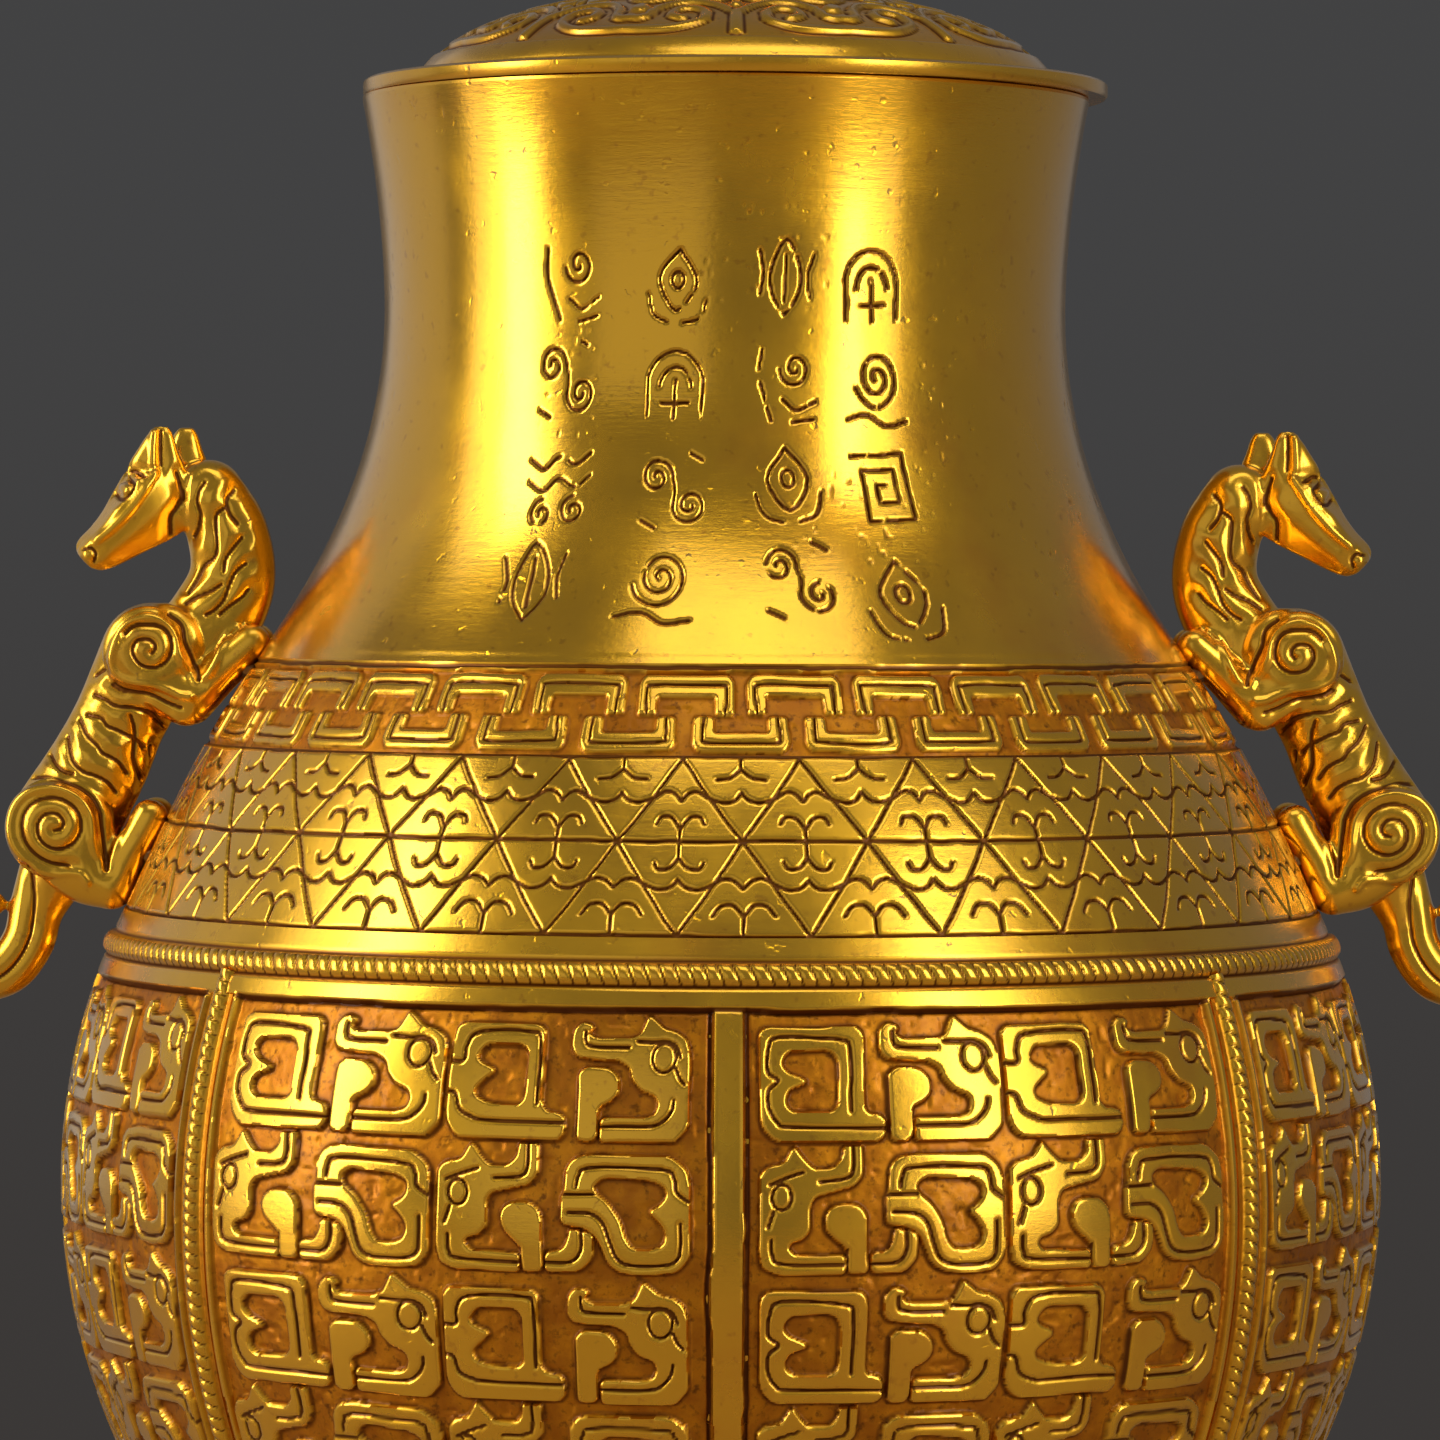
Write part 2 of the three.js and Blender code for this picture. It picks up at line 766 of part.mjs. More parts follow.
function beast(side) {
  const limbs = [
    torso,
    neck,
    head,
    tail,
    ...[-1, 1].flatMap((across) => [
      ear(across * 3.4),
      foreLeg(across * foreLegSpread),
      hindLeg(across * hindLegSpread),
    ]),
  ];
  const whole = unite(limbs.map((stations) => limb(stations, side)));
  const holes = unite(Object.values(pinPlaces(side)).map(pinHole));
  return whole.subtract(bottleSpace(castingGap)).subtract(holes);
}

function metal(color, roughness) {
  return new THREE.MeshStandardMaterial({ color, metalness: 1, roughness });
}

const giltColour = 0xd9a520;
const polishedColour = 0xe6b43a;
const bronzeColour = 0x8a5a26;

function piece(name, solid, color, roughness) {
  const mesh = new THREE.Mesh(toGeometry(solid), metal(color, roughness));
  mesh.name = name;
  return mesh;
}

const sides = { left: -1, right: 1 };
const allPinPlaces = Object.values(sides).flatMap((side) => Object.values(pinPlaces(side)));
const allPinHoles = unite(allPinPlaces.map(pinHole));

const bottle = new THREE.Group();
bottle.add(
  piece("vessel_body", vesselBody().subtract(allPinHoles), giltColour, 0.28),
  piece("foot_ring", footRing(), giltColour, 0.3),
  piece("floor_disc", floorDisc(), bronzeColour, 0.55),
);

for (const [name, side] of Object.entries(sides)) {
  bottle.add(piece(`${name}_beast_handle`, beast(side), polishedColour, 0.24));
  for (const [pinName, place] of Object.entries(pinPlaces(side))) {
    bottle.add(piece(`${name}_${pinName}`, pinSolid(place), bronzeColour, 0.5));
  }
}

// The lid lies a little to one side on the mouth
const lid = new THREE.Group();
lid.position.x = lidShift;
lid.add(
  piece("lid_cover", lidCover(), giltColour, 0.28),
  piece("lid_collar", lidCollar(), bronzeColour, 0.5),
  piece("lid_knob", lidKnob(), polishedColour, 0.24),
  piece("knob_rivet", knobRivet(), bronzeColour, 0.45),
);
bottle.add(lid);

export default bottle;
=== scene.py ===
"""Looks of a gilt bronze bottle with a loose lid and two climbing beasts, built around its frame.

The carving is drawn in millimetres on the unrolled wall; meshes are made in metres.
"""

import math

import bmesh
import bpy
import numpy as np
from bpy.props import FloatProperty, FloatVectorProperty, IntProperty, PointerProperty
from mathutils import Matrix, Vector


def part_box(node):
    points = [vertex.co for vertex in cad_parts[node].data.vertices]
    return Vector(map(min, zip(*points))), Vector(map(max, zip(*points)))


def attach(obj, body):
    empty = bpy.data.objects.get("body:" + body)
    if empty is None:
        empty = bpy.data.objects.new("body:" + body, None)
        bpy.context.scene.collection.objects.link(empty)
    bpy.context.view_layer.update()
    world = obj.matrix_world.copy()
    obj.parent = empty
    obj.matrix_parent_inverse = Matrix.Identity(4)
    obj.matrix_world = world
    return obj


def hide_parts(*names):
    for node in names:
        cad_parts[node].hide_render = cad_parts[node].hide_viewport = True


bl_info = {
    "name": "Gilt Bronze Bottle",
    "version": (1, 0, 0),
    "blender": (4, 5, 0),
    "location": "View3D > Sidebar > Bottle",
    "description": "Carved and gilded bottle with a loose lid and two beast handles",
    "category": "Object",
}

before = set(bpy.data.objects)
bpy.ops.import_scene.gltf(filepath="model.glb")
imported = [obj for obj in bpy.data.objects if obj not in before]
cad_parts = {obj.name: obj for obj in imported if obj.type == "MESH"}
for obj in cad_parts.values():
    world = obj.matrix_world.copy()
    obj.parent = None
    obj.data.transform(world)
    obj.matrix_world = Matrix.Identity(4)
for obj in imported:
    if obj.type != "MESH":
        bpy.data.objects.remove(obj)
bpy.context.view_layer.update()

MM = 0.001


# Sizes and colours that a user would change


def size(name, description, default):
    return FloatProperty(name=name, description=description, default=default, unit="LENGTH", precision=5)


def colour(name, description, default):
    return FloatVectorProperty(name=name, description=description, default=default, subtype="COLOR", size=3)


class BottleShape(bpy.types.PropertyGroup):
    """The wall's profile, the same as the frame's."""

    belly_radius: size("Belly Radius", "Widest radius of the belly", 0.1316)
    toe_radius: size("Toe Radius", "Radius where the wall meets the foot", 0.0738)
    neck_base_radius: size("Neck Base Radius", "Radius at the top of the carved bands", 0.0912)
    waist_radius: size("Waist Radius", "Narrowest radius of the neck", 0.0679)
    mouth_radius: size("Mouth Radius", "Outer radius of the mouth", 0.0726)
    foot_height: size("Foot Height", "Top of the foot ring", 0.024)
    belly_height: size("Belly Height", "Height of the widest place", 0.130)
    shoulder_height: size("Shoulder Height", "Height where the belly turns into the shoulder", 0.182)
    neck_base_height: size("Neck Base Height", "Height where the neck's sweep begins", 0.2365)
    waist_height: size("Waist Height", "Height of the narrowest place", 0.304)
    mouth_height: size("Mouth Height", "Height of the mouth", 0.346)
    wall: size("Wall", "Thickness of the wall", 0.0035)
    lid_shift: size("Lid Shift", "How far the lid lies to one side", 0.0019)


class BottleCarving(bpy.types.PropertyGroup):
    """Depths, places and fineness of the carving."""

    ground_depth: size("Ground Depth", "How far the panels' ground lies below the polished faces", 0.0012)
    groove_depth: size("Groove Depth", "Depth of the cut lines", 0.00055)
    row_pitch: size("Row Pitch", "Height from one row of dragons to the next", 0.02405)
    rope_height: size("Rope Height", "Height of the rope round the shoulder", 0.1779)
    hoop_beads: IntProperty(
        name="Hoop Beads", description="Beads in the rope round the shoulder", default=276,
    )
    fine_step: size("Fine Step", "Mesh step of the carving at the front", 0.00038)
    coarse_step: size("Coarse Step", "Mesh step of the carving elsewhere", 0.00068)
    beast_step: size("Beast Step", "Mesh step of the beasts", 0.00044)


class BottleFinish(bpy.types.PropertyGroup):
    """Colours of the gilding, the grounds and the stage."""

    gilt: colour("Gilt", "Polished gilding", (0.92, 0.48, 0.014))
    warm_gilt: colour("Warm Gilt", "Gilding where it is thin and stained", (0.80, 0.32, 0.010))
    ground: colour("Ground", "Reddish ground of the recesses", (0.46, 0.15, 0.008))
    groove: colour("Groove", "Darkest colour in the cut lines", (0.13, 0.034, 0.005))
    bronze: colour("Bronze", "Bare bronze where nothing is gilded", (0.33, 0.19, 0.075))
    floor: colour("Floor", "Floor of the stage", (0.43, 0.34, 0.26))
    # The backdrop glows at these painted levels, darker towards its foot as painted falloff of light
    backdrop: colour("Backdrop", "Wall behind the bottle, above", (0.055, 0.055, 0.056))
    backdrop_shaded_foot: colour("Low Backdrop", "Wall behind the bottle, below", (0.044, 0.040, 0.038))


def shape():
    return bpy.context.scene.bottle_shape


def carving():
    return bpy.context.scene.bottle_carving


def finish():
    return bpy.context.scene.bottle_finish


# The wall's profile, in millimetres


def belly_curve(z):
    s = shape()
    belly, toe = s.belly_radius / MM, s.toe_radius / MM
    half = (s.belly_height - s.foot_height) / MM / math.sqrt(1 - (toe / belly) ** 2)
    rise = z - s.belly_height / MM
    radius = belly * np.sqrt(np.clip(1 - (rise / half) ** 2, 1e-4, None))
    return radius, -(belly**2) * rise / (half**2 * radius)


def wall_radius(z):
    """Outer radius of the wall at heights z."""
    s = shape()
    z = np.asarray(z, float)
    waist, base, shoulder = s.waist_height / MM, s.neck_base_height / MM, s.shoulder_height / MM
    waist_r, base_r, mouth_r = s.waist_radius / MM, s.neck_base_radius / MM, s.mouth_radius / MM
    up = np.clip((z - waist) / (s.mouth_height / MM - waist), 0, None)
    flare = waist_r + (mouth_r - waist_r) * up**1.8
    down = np.clip((waist - z) / (waist - base), 0, None)
    sweep = waist_r + (base_r - waist_r) * down**2.05
    span = base - shoulder
    t = (z - shoulder) / span
    low_r, low_slope = belly_curve(shoulder)
    high_slope = -(base_r - waist_r) * 2.05 / (waist - base)
    turn = (
        (2 * t**3 - 3 * t**2 + 1) * low_r
        + (t**3 - 2 * t**2 + t) * low_slope * span
        + (3 * t**2 - 2 * t**3) * base_r
        + (t**3 - t**2) * high_slope * span
    )
    below = np.where(z >= shoulder, turn, belly_curve(z)[0])
    return np.where(z >= waist, flare, np.where(z >= base, sweep, below))


def wall_normal(z):
    """Outward and upward parts of the wall's unit normal."""
    slope = (wall_radius(z + 0.05) - wall_radius(z - 0.05)) / 0.1
    reach = np.hypot(1, slope)
    return 1 / reach, -slope / reach


def along_wall(low, high):
    """Heights from low to high, and the distance along the wall to each."""
    z = np.linspace(low, high, 500)
    return z, np.concatenate([[0], np.cumsum(np.hypot(np.diff(z), np.diff(wall_radius(z))))])


# Drawing on the unrolled wall


def smooth(x, low, high):
    t = np.clip((x - low) / (high - low), 0, 1)
    return t * t * (3 - 2 * t)


def soften(points, radius):
    """A closed outline with its corners rounded by short curves."""
    pts = np.asarray(points, float)
    out = []
    for before, corner, after in zip(np.roll(pts, 1, 0), pts, np.roll(pts, -1, 0)):
        a, b = before - corner, after - corner
        la, lb = np.hypot(*a), np.hypot(*b)
        cut = min(radius, la * 0.45, lb * 0.45)
        start, end = corner + a / la * cut, corner + b / lb * cut
        for t in (0, 0.3, 0.7, 1):
            out.append((1 - t) ** 2 * start + 2 * t * (1 - t) * corner + t**2 * end)
    return np.array(out)


def rounded_line(points, steps=4):
    """A smooth line through the points."""
    p = np.asarray(points, float)
    if len(p) < 3:
        return p
    padded = np.vstack([2 * p[0] - p[1], p, 2 * p[-1] - p[-2]])
    out = []
    for a, b, c, d in zip(padded, padded[1:], padded[2:], padded[3:]):
        for t in np.arange(steps) / steps:
            bend = (2 * a - 5 * b + 4 * c - d) * t**2 + (3 * b - a - 3 * c + d) * t**3
            out.append(0.5 * (2 * b + (c - a) * t + bend))
    return np.array(out + [p[-1]])


def line_distance(x, y, points, closed=False):
    pts = np.asarray(points, float)
    ends = np.roll(pts, -1, 0) if closed else pts[1:]
    best = np.full(x.shape, 1e9)
    for (ax, ay), (bx, by) in zip(pts, ends):
        dx, dy = bx - ax, by - ay
        t = np.clip(((x - ax) * dx + (y - ay) * dy) / (dx * dx + dy * dy + 1e-12), 0, 1)
        best = np.minimum(best, (x - ax - t * dx) ** 2 + (y - ay - t * dy) ** 2)
    return np.sqrt(best)


def outline_distance(x, y, points):
    """Distance to a closed outline, negative inside it."""
    pts = np.asarray(points, float)
    inside = np.zeros(x.shape, bool)
    for (ax, ay), (bx, by) in zip(pts, np.roll(pts, -1, 0)):
        if ay != by:
            inside ^= ((ay > y) != (by > y)) & (x < (bx - ax) * (y - ay) / (by - ay) + ax)
    return np.where(inside, -1, 1) * line_distance(x, y, pts, closed=True)


def arc(cx, cy, rx, ry, start, end, count=13):
    angles = np.radians(np.linspace(start, end, count))
    return [(cx + rx * math.cos(a), cy + ry * math.sin(a)) for a in angles]


def spiral(cx, cy, radius, turns, start, inner=0.1, count=44):
    """A line that winds in to its centre."""
    out = []
    for t in np.linspace(0, 1, count):
        r = radius * (1 - t) + radius * inner * t
        a = math.radians(start) + turns * 2 * math.pi * t
        out.append((cx + r * math.cos(a), cy + r * math.sin(a)))
    return out


class Drawing:
    """A small sheet in millimetres: how far each place is raised to the face, what is cut into it, and the
    painted shade beside the raised forms.
    """

    def __init__(self, x0, y0, x1, y1, step=0.14, raised=0.0):
        self.x0, self.y0, self.step = x0, y0, step
        self.x, self.y = np.meshgrid(np.arange(x0, x1 + step, step), np.arange(y0, y1 + step, step))
        self.face = np.full(self.x.shape, float(raised))
        self.cuts = np.zeros(self.x.shape)
        self.shade = np.zeros(self.x.shape)

    def near(self, points, margin):
        pts = np.asarray(points, float)
        columns = np.clip(((pts[:, 0] - self.x0) / self.step).astype(int), 0, self.x.shape[1] - 1)
        rows = np.clip(((pts[:, 1] - self.y0) / self.step).astype(int), 0, self.x.shape[0] - 1)
        edge = int(margin / self.step) + 2
        return (
            slice(max(0, rows.min() - edge), rows.max() + edge + 1),
            slice(max(0, columns.min() - edge), columns.max() + edge + 1),
        )

    def raise_shape(self, outline, holes=(), radius=0.7):
        part = self.near(outline, 2)
        x, y = self.x[part], self.y[part]
        away = outline_distance(x, y, soften(outline, radius))
        for hole in holes:
            away = np.maximum(away, -outline_distance(x, y, soften(hole, radius)))
        self.face[part] = np.maximum(self.face[part], 1 - smooth(away, -0.14, 0.3))
        # Painted shade on the ground round the raised form, fading out over about 1.5 mm
        self.shade[part] = np.maximum(self.shade[part], 1 - smooth(away, 0.2, 1.5))

    def cut(self, points, width=0.95, closed=False, curved=True):
        pts = rounded_line(points) if curved and not closed else np.asarray(points, float)
        part = self.near(pts, width + 1)
        away = line_distance(self.x[part], self.y[part], pts, closed)
        self.cuts[part] = np.maximum(self.cuts[part], 1 - smooth(away, width * 0.14, width * 0.54))

    def read(self, sheet, x, y):
        fx = np.clip((x - self.x0) / self.step, 0, self.x.shape[1] - 1.001)
        fy = np.clip((y - self.y0) / self.step, 0, self.x.shape[0] - 1.001)
        cx, cy = fx.astype(int), fy.astype(int)
        fx, fy = fx - cx, fy - cy
        low = sheet[cy, cx] * (1 - fx) + sheet[cy, cx + 1] * fx
        high = sheet[cy + 1, cx] * (1 - fx) + sheet[cy + 1, cx + 1] * fx
        return low * (1 - fy) + high * fy


def noise_at(x, y, seed, columns=256, rows=256):
    """Smooth noise from 0 to 1 that repeats after that many cells along x."""
    grid = np.random.default_rng(seed).random((rows, columns))
    x0, y0 = np.floor(x).astype(int), np.floor(y).astype(int)
    fx, fy = x - x0, y - y0
    fx, fy = fx * fx * (3 - 2 * fx), fy * fy * (3 - 2 * fy)
    a, b = grid[y0 % rows, x0 % columns], grid[y0 % rows, (x0 + 1) % columns]
    c, d = grid[(y0 + 1) % rows, x0 % columns], grid[(y0 + 1) % rows, (x0 + 1) % columns]
    return (a * (1 - fx) + b * fx) * (1 - fy) + (c * (1 - fx) + d * fx) * fy


def round_noise(theta, z, cell, seed):
    """Noise on the wall, from -0.5 to 0.5, with cells of about this size and closed round the bottle."""
    columns = max(4, int(round(2 * math.pi * 115 / cell)))
    return noise_at(theta / (2 * math.pi) * columns, z / cell, seed, columns) - 0.5


def hand_finish(theta, z):
    """The slight unevenness of a wall that was cast and rubbed by hand."""
    edges = smooth(z, 24, 40) * (1 - smooth(z, 336, 345))
    return edges * (0.16 * round_noise(theta, z, 36, 3) + 0.05 * round_noise(theta, z, 13, 4))


def swayed(theta, z, *waves):
    """The sum of noises on the wall, each given as (height, cell, seed)."""
    return sum(height * round_noise(theta, z, cell, seed) for height, cell, seed in waves)


def lips_beside(cuts):
    """Where the metal was pushed up beside a cut line."""
    return smooth(cuts, 0.02, 0.25) * (1 - smooth(cuts, 0.25, 0.7))


def painted_foot_shade(shadow, share, shade, face, shade_share):
    """Painted shade along the foot of the raised forms and on the ground beside them."""
    edge = share * smooth(shadow, 0, 0.6) * (1 - smooth(shadow, 0.6, 1))
    return np.maximum(edge, shade_share * shade * (1 - face))


def moved(points, dx, dy=0.0, side=1):
    return [(dx + side * x, dy + y) for x, y in points]


def cast_grain(theta, z):
    """Rough skin of the ground, as it came out of the mould."""
    pits = smooth(round_noise(theta, z, 1.9, 7), 0.28, 0.44)
    return 0.12 * round_noise(theta, z, 0.9, 5) + 0.2 * round_noise(theta, z, 2.6, 6) - 0.25 * pits


# Mesh helpers


def deselect_all():
    if bpy.context.object and bpy.context.object.mode != "OBJECT":
        bpy.ops.object.mode_set(mode="OBJECT")
    bpy.ops.object.select_all(action="DESELECT")


def only(obj):
    deselect_all()
    obj.select_set(True)
    bpy.context.view_layer.objects.active = obj


def join(objects, name):
    deselect_all()
    for obj in objects:
        obj.select_set(True)
    bpy.context.view_layer.objects.active = objects[0]
    if len(objects) > 1:
        bpy.ops.object.join()
    obj = bpy.context.object
    obj.name = obj.data.name = name
    return obj


def places(obj):
    """A mesh's points, in millimetres."""
    flat = np.empty(len(obj.data.vertices) * 3, np.float32)
    obj.data.vertices.foreach_get("co", flat)
    return flat.reshape(-1, 3).astype(float) / MM


def normals(obj):
    flat = np.empty(len(obj.data.vertices) * 3, np.float32)
    obj.data.vertex_normals.foreach_get("vector", flat)
    return flat.reshape(-1, 3).astype(float)


def place_vertices(obj, points):
    obj.data.vertices.foreach_set("co", np.ascontiguousarray(points * MM, np.float32).ravel())
    obj.data.update()


def set_attribute(obj, name, values):
    layer = obj.data.attributes.get(name) or obj.data.attributes.new(name, "FLOAT", "POINT")
    layer.data.foreach_set("value", np.ascontiguousarray(values, np.float32))


def shade_smooth(obj, angle=None):
    only(obj)
    if angle is None:
        bpy.ops.object.shade_smooth()
    else:
        bpy.ops.object.shade_smooth_by_angle(angle=math.radians(angle))


def dress(obj, body, slot, material, *nodes):
    """Gives a finished piece its body and material, and hides the nodes that it stands for; the slot is not
    used.
    """
    obj.data.materials.clear()
    obj.data.materials.append(material)
    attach(obj, body)
    if nodes:
        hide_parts(*nodes)


def add_grid(columns, rows):
    """A flat grid, with the column and the row of each of its points."""
    deselect_all()
    bpy.ops.mesh.primitive_grid_add(x_subdivisions=columns, y_subdivisions=rows, size=2)
    obj = bpy.context.object
    flat = places(obj) * MM
    column = np.rint((flat[:, 0] + 1) / 2 * columns).astype(int)
    row = np.rint((flat[:, 1] + 1) / 2 * rows).astype(int)
    return obj, column, row


def on_wall(theta, z, proud):
    """Points that stand proud of the wall."""
    out, up = wall_normal(z)
    r = wall_radius(z) + out * proud
    return np.stack([r * np.sin(theta), -r * np.cos(theta), z + up * proud], -1)


SKIN_DEPTH = 2.0
CORE_DEPTH = 1.7
BACK_SHARE = 8
LIP = 0.9


def eights(span, step):
    return BACK_SHARE * max(1, int(round(span / step / BACK_SHARE)))


def turn_faces_round(obj):
    only(obj)
    bpy.ops.object.mode_set(mode="EDIT")
    bpy.ops.mesh.select_all(action="SELECT")
    bpy.ops.mesh.flip_normals()
    bpy.ops.object.mode_set(mode="OBJECT")


def rim(index):
    """A grid's border points, anticlockwise, as four sides."""
    return [index[0, :], index[:, -1], index[-1, ::-1], index[::-1, 0]]


def wall_skin(name, theta_low, theta_high, low, high, step, relief):
    """A closed plate of the wall's surface: a carved face, four edges and a plain back.

    relief(theta, z) gives how proud the face stands, how much of it is ground, and how much takes the cut
    lines' dark colour, which also paints shade at the foot of raised forms.
    """
    z, distance = along_wall(low, high)
    widest = float(wall_radius(np.array([low, (low + high) / 2, high])).max())
    columns, steps = eights((theta_high - theta_low) * widest, step), eights(distance[-1], step)
    thetas = np.linspace(theta_low, theta_high, columns + 1)
    heights = np.interp(np.linspace(0, distance[-1], steps + 1), distance, z)
    sheets = []
    for share, is_face in ((1, True), (BACK_SHARE, False)):
        sheet, column, row = add_grid(columns // share, steps // share)
        theta, height = thetas[column * share], heights[row * share]
        if is_face:
            proud, ground, cuts = relief(theta, height)
        else:
            flat = np.zeros(theta.shape)
            proud, ground, cuts = flat - SKIN_DEPTH, flat + 1, flat
        place_vertices(sheet, on_wall(theta, height, proud))
        set_attribute(sheet, "ground", ground)
        set_attribute(sheet, "cuts", cuts)
        index = np.empty((steps // share + 1, columns // share + 1), int)
        index[row, column] = np.arange(len(row))
        sheets.append((sheet, index))
    back, back_index = sheets[1]
    turn_faces_round(back)
    face_index = sheets[0][1]
    back_index = back_index + face_index.size
    skin = join([sheets[0][0], back], name)

    # The edges, and a map that gives the face nearly the whole square
    corners = np.empty(len(skin.data.loops), np.int32)
    skin.data.loops.foreach_get("vertex_index", corners)
    flat = np.empty(len(corners) * 2, np.float32)
    skin.data.uv_layers[0].data.foreach_get("uv", flat)
    flat[1::2] = np.where(corners >= face_index.size, flat[1::2] * 0.08, 0.1 + flat[1::2] * 0.9)
    skin.data.uv_layers[0].data.foreach_set("uv", flat)
    bm = bmesh.new()
    bm.from_mesh(skin.data)
    bm.verts.ensure_lookup_table()
    uv = bm.loops.layers.uv.verify()
    half = BACK_SHARE // 2
    for face_side, back_side in zip(rim(face_index), rim(back_index)):
        for k in range(len(back_side) - 1):
            run = face_side[k * BACK_SHARE : (k + 1) * BACK_SHARE + 1]
            near, far = back_side[k], back_side[k + 1]
            corners = [(run[j + 1], run[j], near if j < half else far) for j in range(BACK_SHARE)]
            for corner in corners + [(run[half], near, far)]:
                made = bm.faces.new([bm.verts[i] for i in corner])
                for loop in made.loops:
                    loop[uv].uv = (0.5, 0.09)
    bm.to_mesh(skin.data)
    bm.free()
    skin.data.uv_layers[0].name = "OFBake"
    shade_smooth(skin, 62)
    return skin


def turned(name, profile, steps=256, angle=40):
    """A piece turned on the bottle's axis: its profile is drawn point by point and spun round."""
    points = [Vector((r * MM, 0, z * MM)) for r, z in [*profile, profile[0]]]
    deselect_all()
    bpy.ops.mesh.primitive_plane_add(size=0.01)
    obj = bpy.context.object
    obj.name = obj.data.name = name
    bpy.ops.object.mode_set(mode="EDIT")
    bpy.ops.mesh.merge(type="CENTER")
    bpy.ops.transform.translate(value=points[0])
    for a, b in zip(points, points[1:]):
        bpy.ops.mesh.extrude_region_move(TRANSFORM_OT_translate={"value": b - a})
    bpy.ops.mesh.select_all(action="SELECT")
    bpy.ops.mesh.spin(steps=steps, angle=2 * math.pi, center=(0, 0, 0), axis=(0, 0, 1))
    bpy.ops.mesh.select_all(action="SELECT")
    bpy.ops.mesh.remove_doubles(threshold=4e-6)
    bpy.ops.mesh.select_all(action="SELECT")
    bpy.ops.mesh.normals_make_consistent(inside=False)
    bpy.ops.object.mode_set(mode="OBJECT")
    shade_smooth(obj, angle)
    return obj


def shift_lid(obj):
    """Moves a lid piece to where the lid lies on the mouth."""
    points = places(obj)
    points[:, 0] += shape().lid_shift / MM
    place_vertices(obj, points)


def eased(profile, radius):
    """A profile with its corners rounded."""
    return [tuple(p) for p in soften(profile, radius)]


# Materials


class Nodes:
    """Short names for adding and linking shader nodes."""

    def __init__(self, name):
        self.material = bpy.data.materials.new(name)
        self.material.use_nodes = True
        self.tree = self.material.node_tree
        self.shader = self.tree.nodes["Principled BSDF"]

    def add(self, kind, **settings):
        node = self.tree.nodes.new("ShaderNode" + kind)
        for key, value in settings.items():
            setattr(node, key, value)
        return node

    def put(self, socket, value):
        if isinstance(value, bpy.types.NodeSocket):
            self.tree.links.new(value, socket)
        else:
            socket.default_value = value

    def where(self):
        return self.add("TexCoord").outputs["Object"]

    def attribute(self, name):
        return self.add("Attribute", attribute_name=name).outputs["Fac"]

    def stretched(self, scale):
        node = self.add("Mapping")
        self.put(node.inputs["Vector"], self.where())
        node.inputs["Scale"].default_value = scale
        return node.outputs["Vector"]

    def noise(self, scale, detail=3, roughness=0.5, vector=None):
        node = self.add("TexNoise")
        self.put(node.inputs["Vector"], vector or self.where())
        node.inputs["Scale"].default_value = scale
        node.inputs["Detail"].default_value = detail
        node.inputs["Roughness"].default_value = roughness
        return node.outputs["Fac"]

    def span(self, value, low, high, to_low=0.0, to_high=1.0):
        node = self.add("MapRange", interpolation_type="SMOOTHSTEP")
        for name, number in (
            ("Value", value),
            ("From Min", low),
            ("From Max", high),
            ("To Min", to_low),
            ("To Max", to_high),
        ):
            self.put(node.inputs[name], number)
        return node.outputs["Result"]

    def maths(self, operation, a, b):
        node = self.add("Math", operation=operation)
        self.put(node.inputs[0], a)
        self.put(node.inputs[1], b)
        return node.outputs[0]

    def mix(self, factor, a, b):
        node = self.add("Mix", data_type="RGBA")
        self.put(node.inputs["Factor"], factor)
        self.put(node.inputs[6], a if isinstance(a, bpy.types.NodeSocket) else (*a, 1))
        self.put(node.inputs[7], b if isinstance(b, bpy.types.NodeSocket) else (*b, 1))
        return node.outputs[2]

    def bump(self, height, distance, strength=1.0, normal=None):
        node = self.add("Bump")
        node.inputs["Strength"].default_value = strength
        node.inputs["Distance"].default_value = distance
        self.put(node.inputs["Height"], height)
        if normal:
            self.put(node.inputs["Normal"], normal)
        return node.outputs["Normal"]


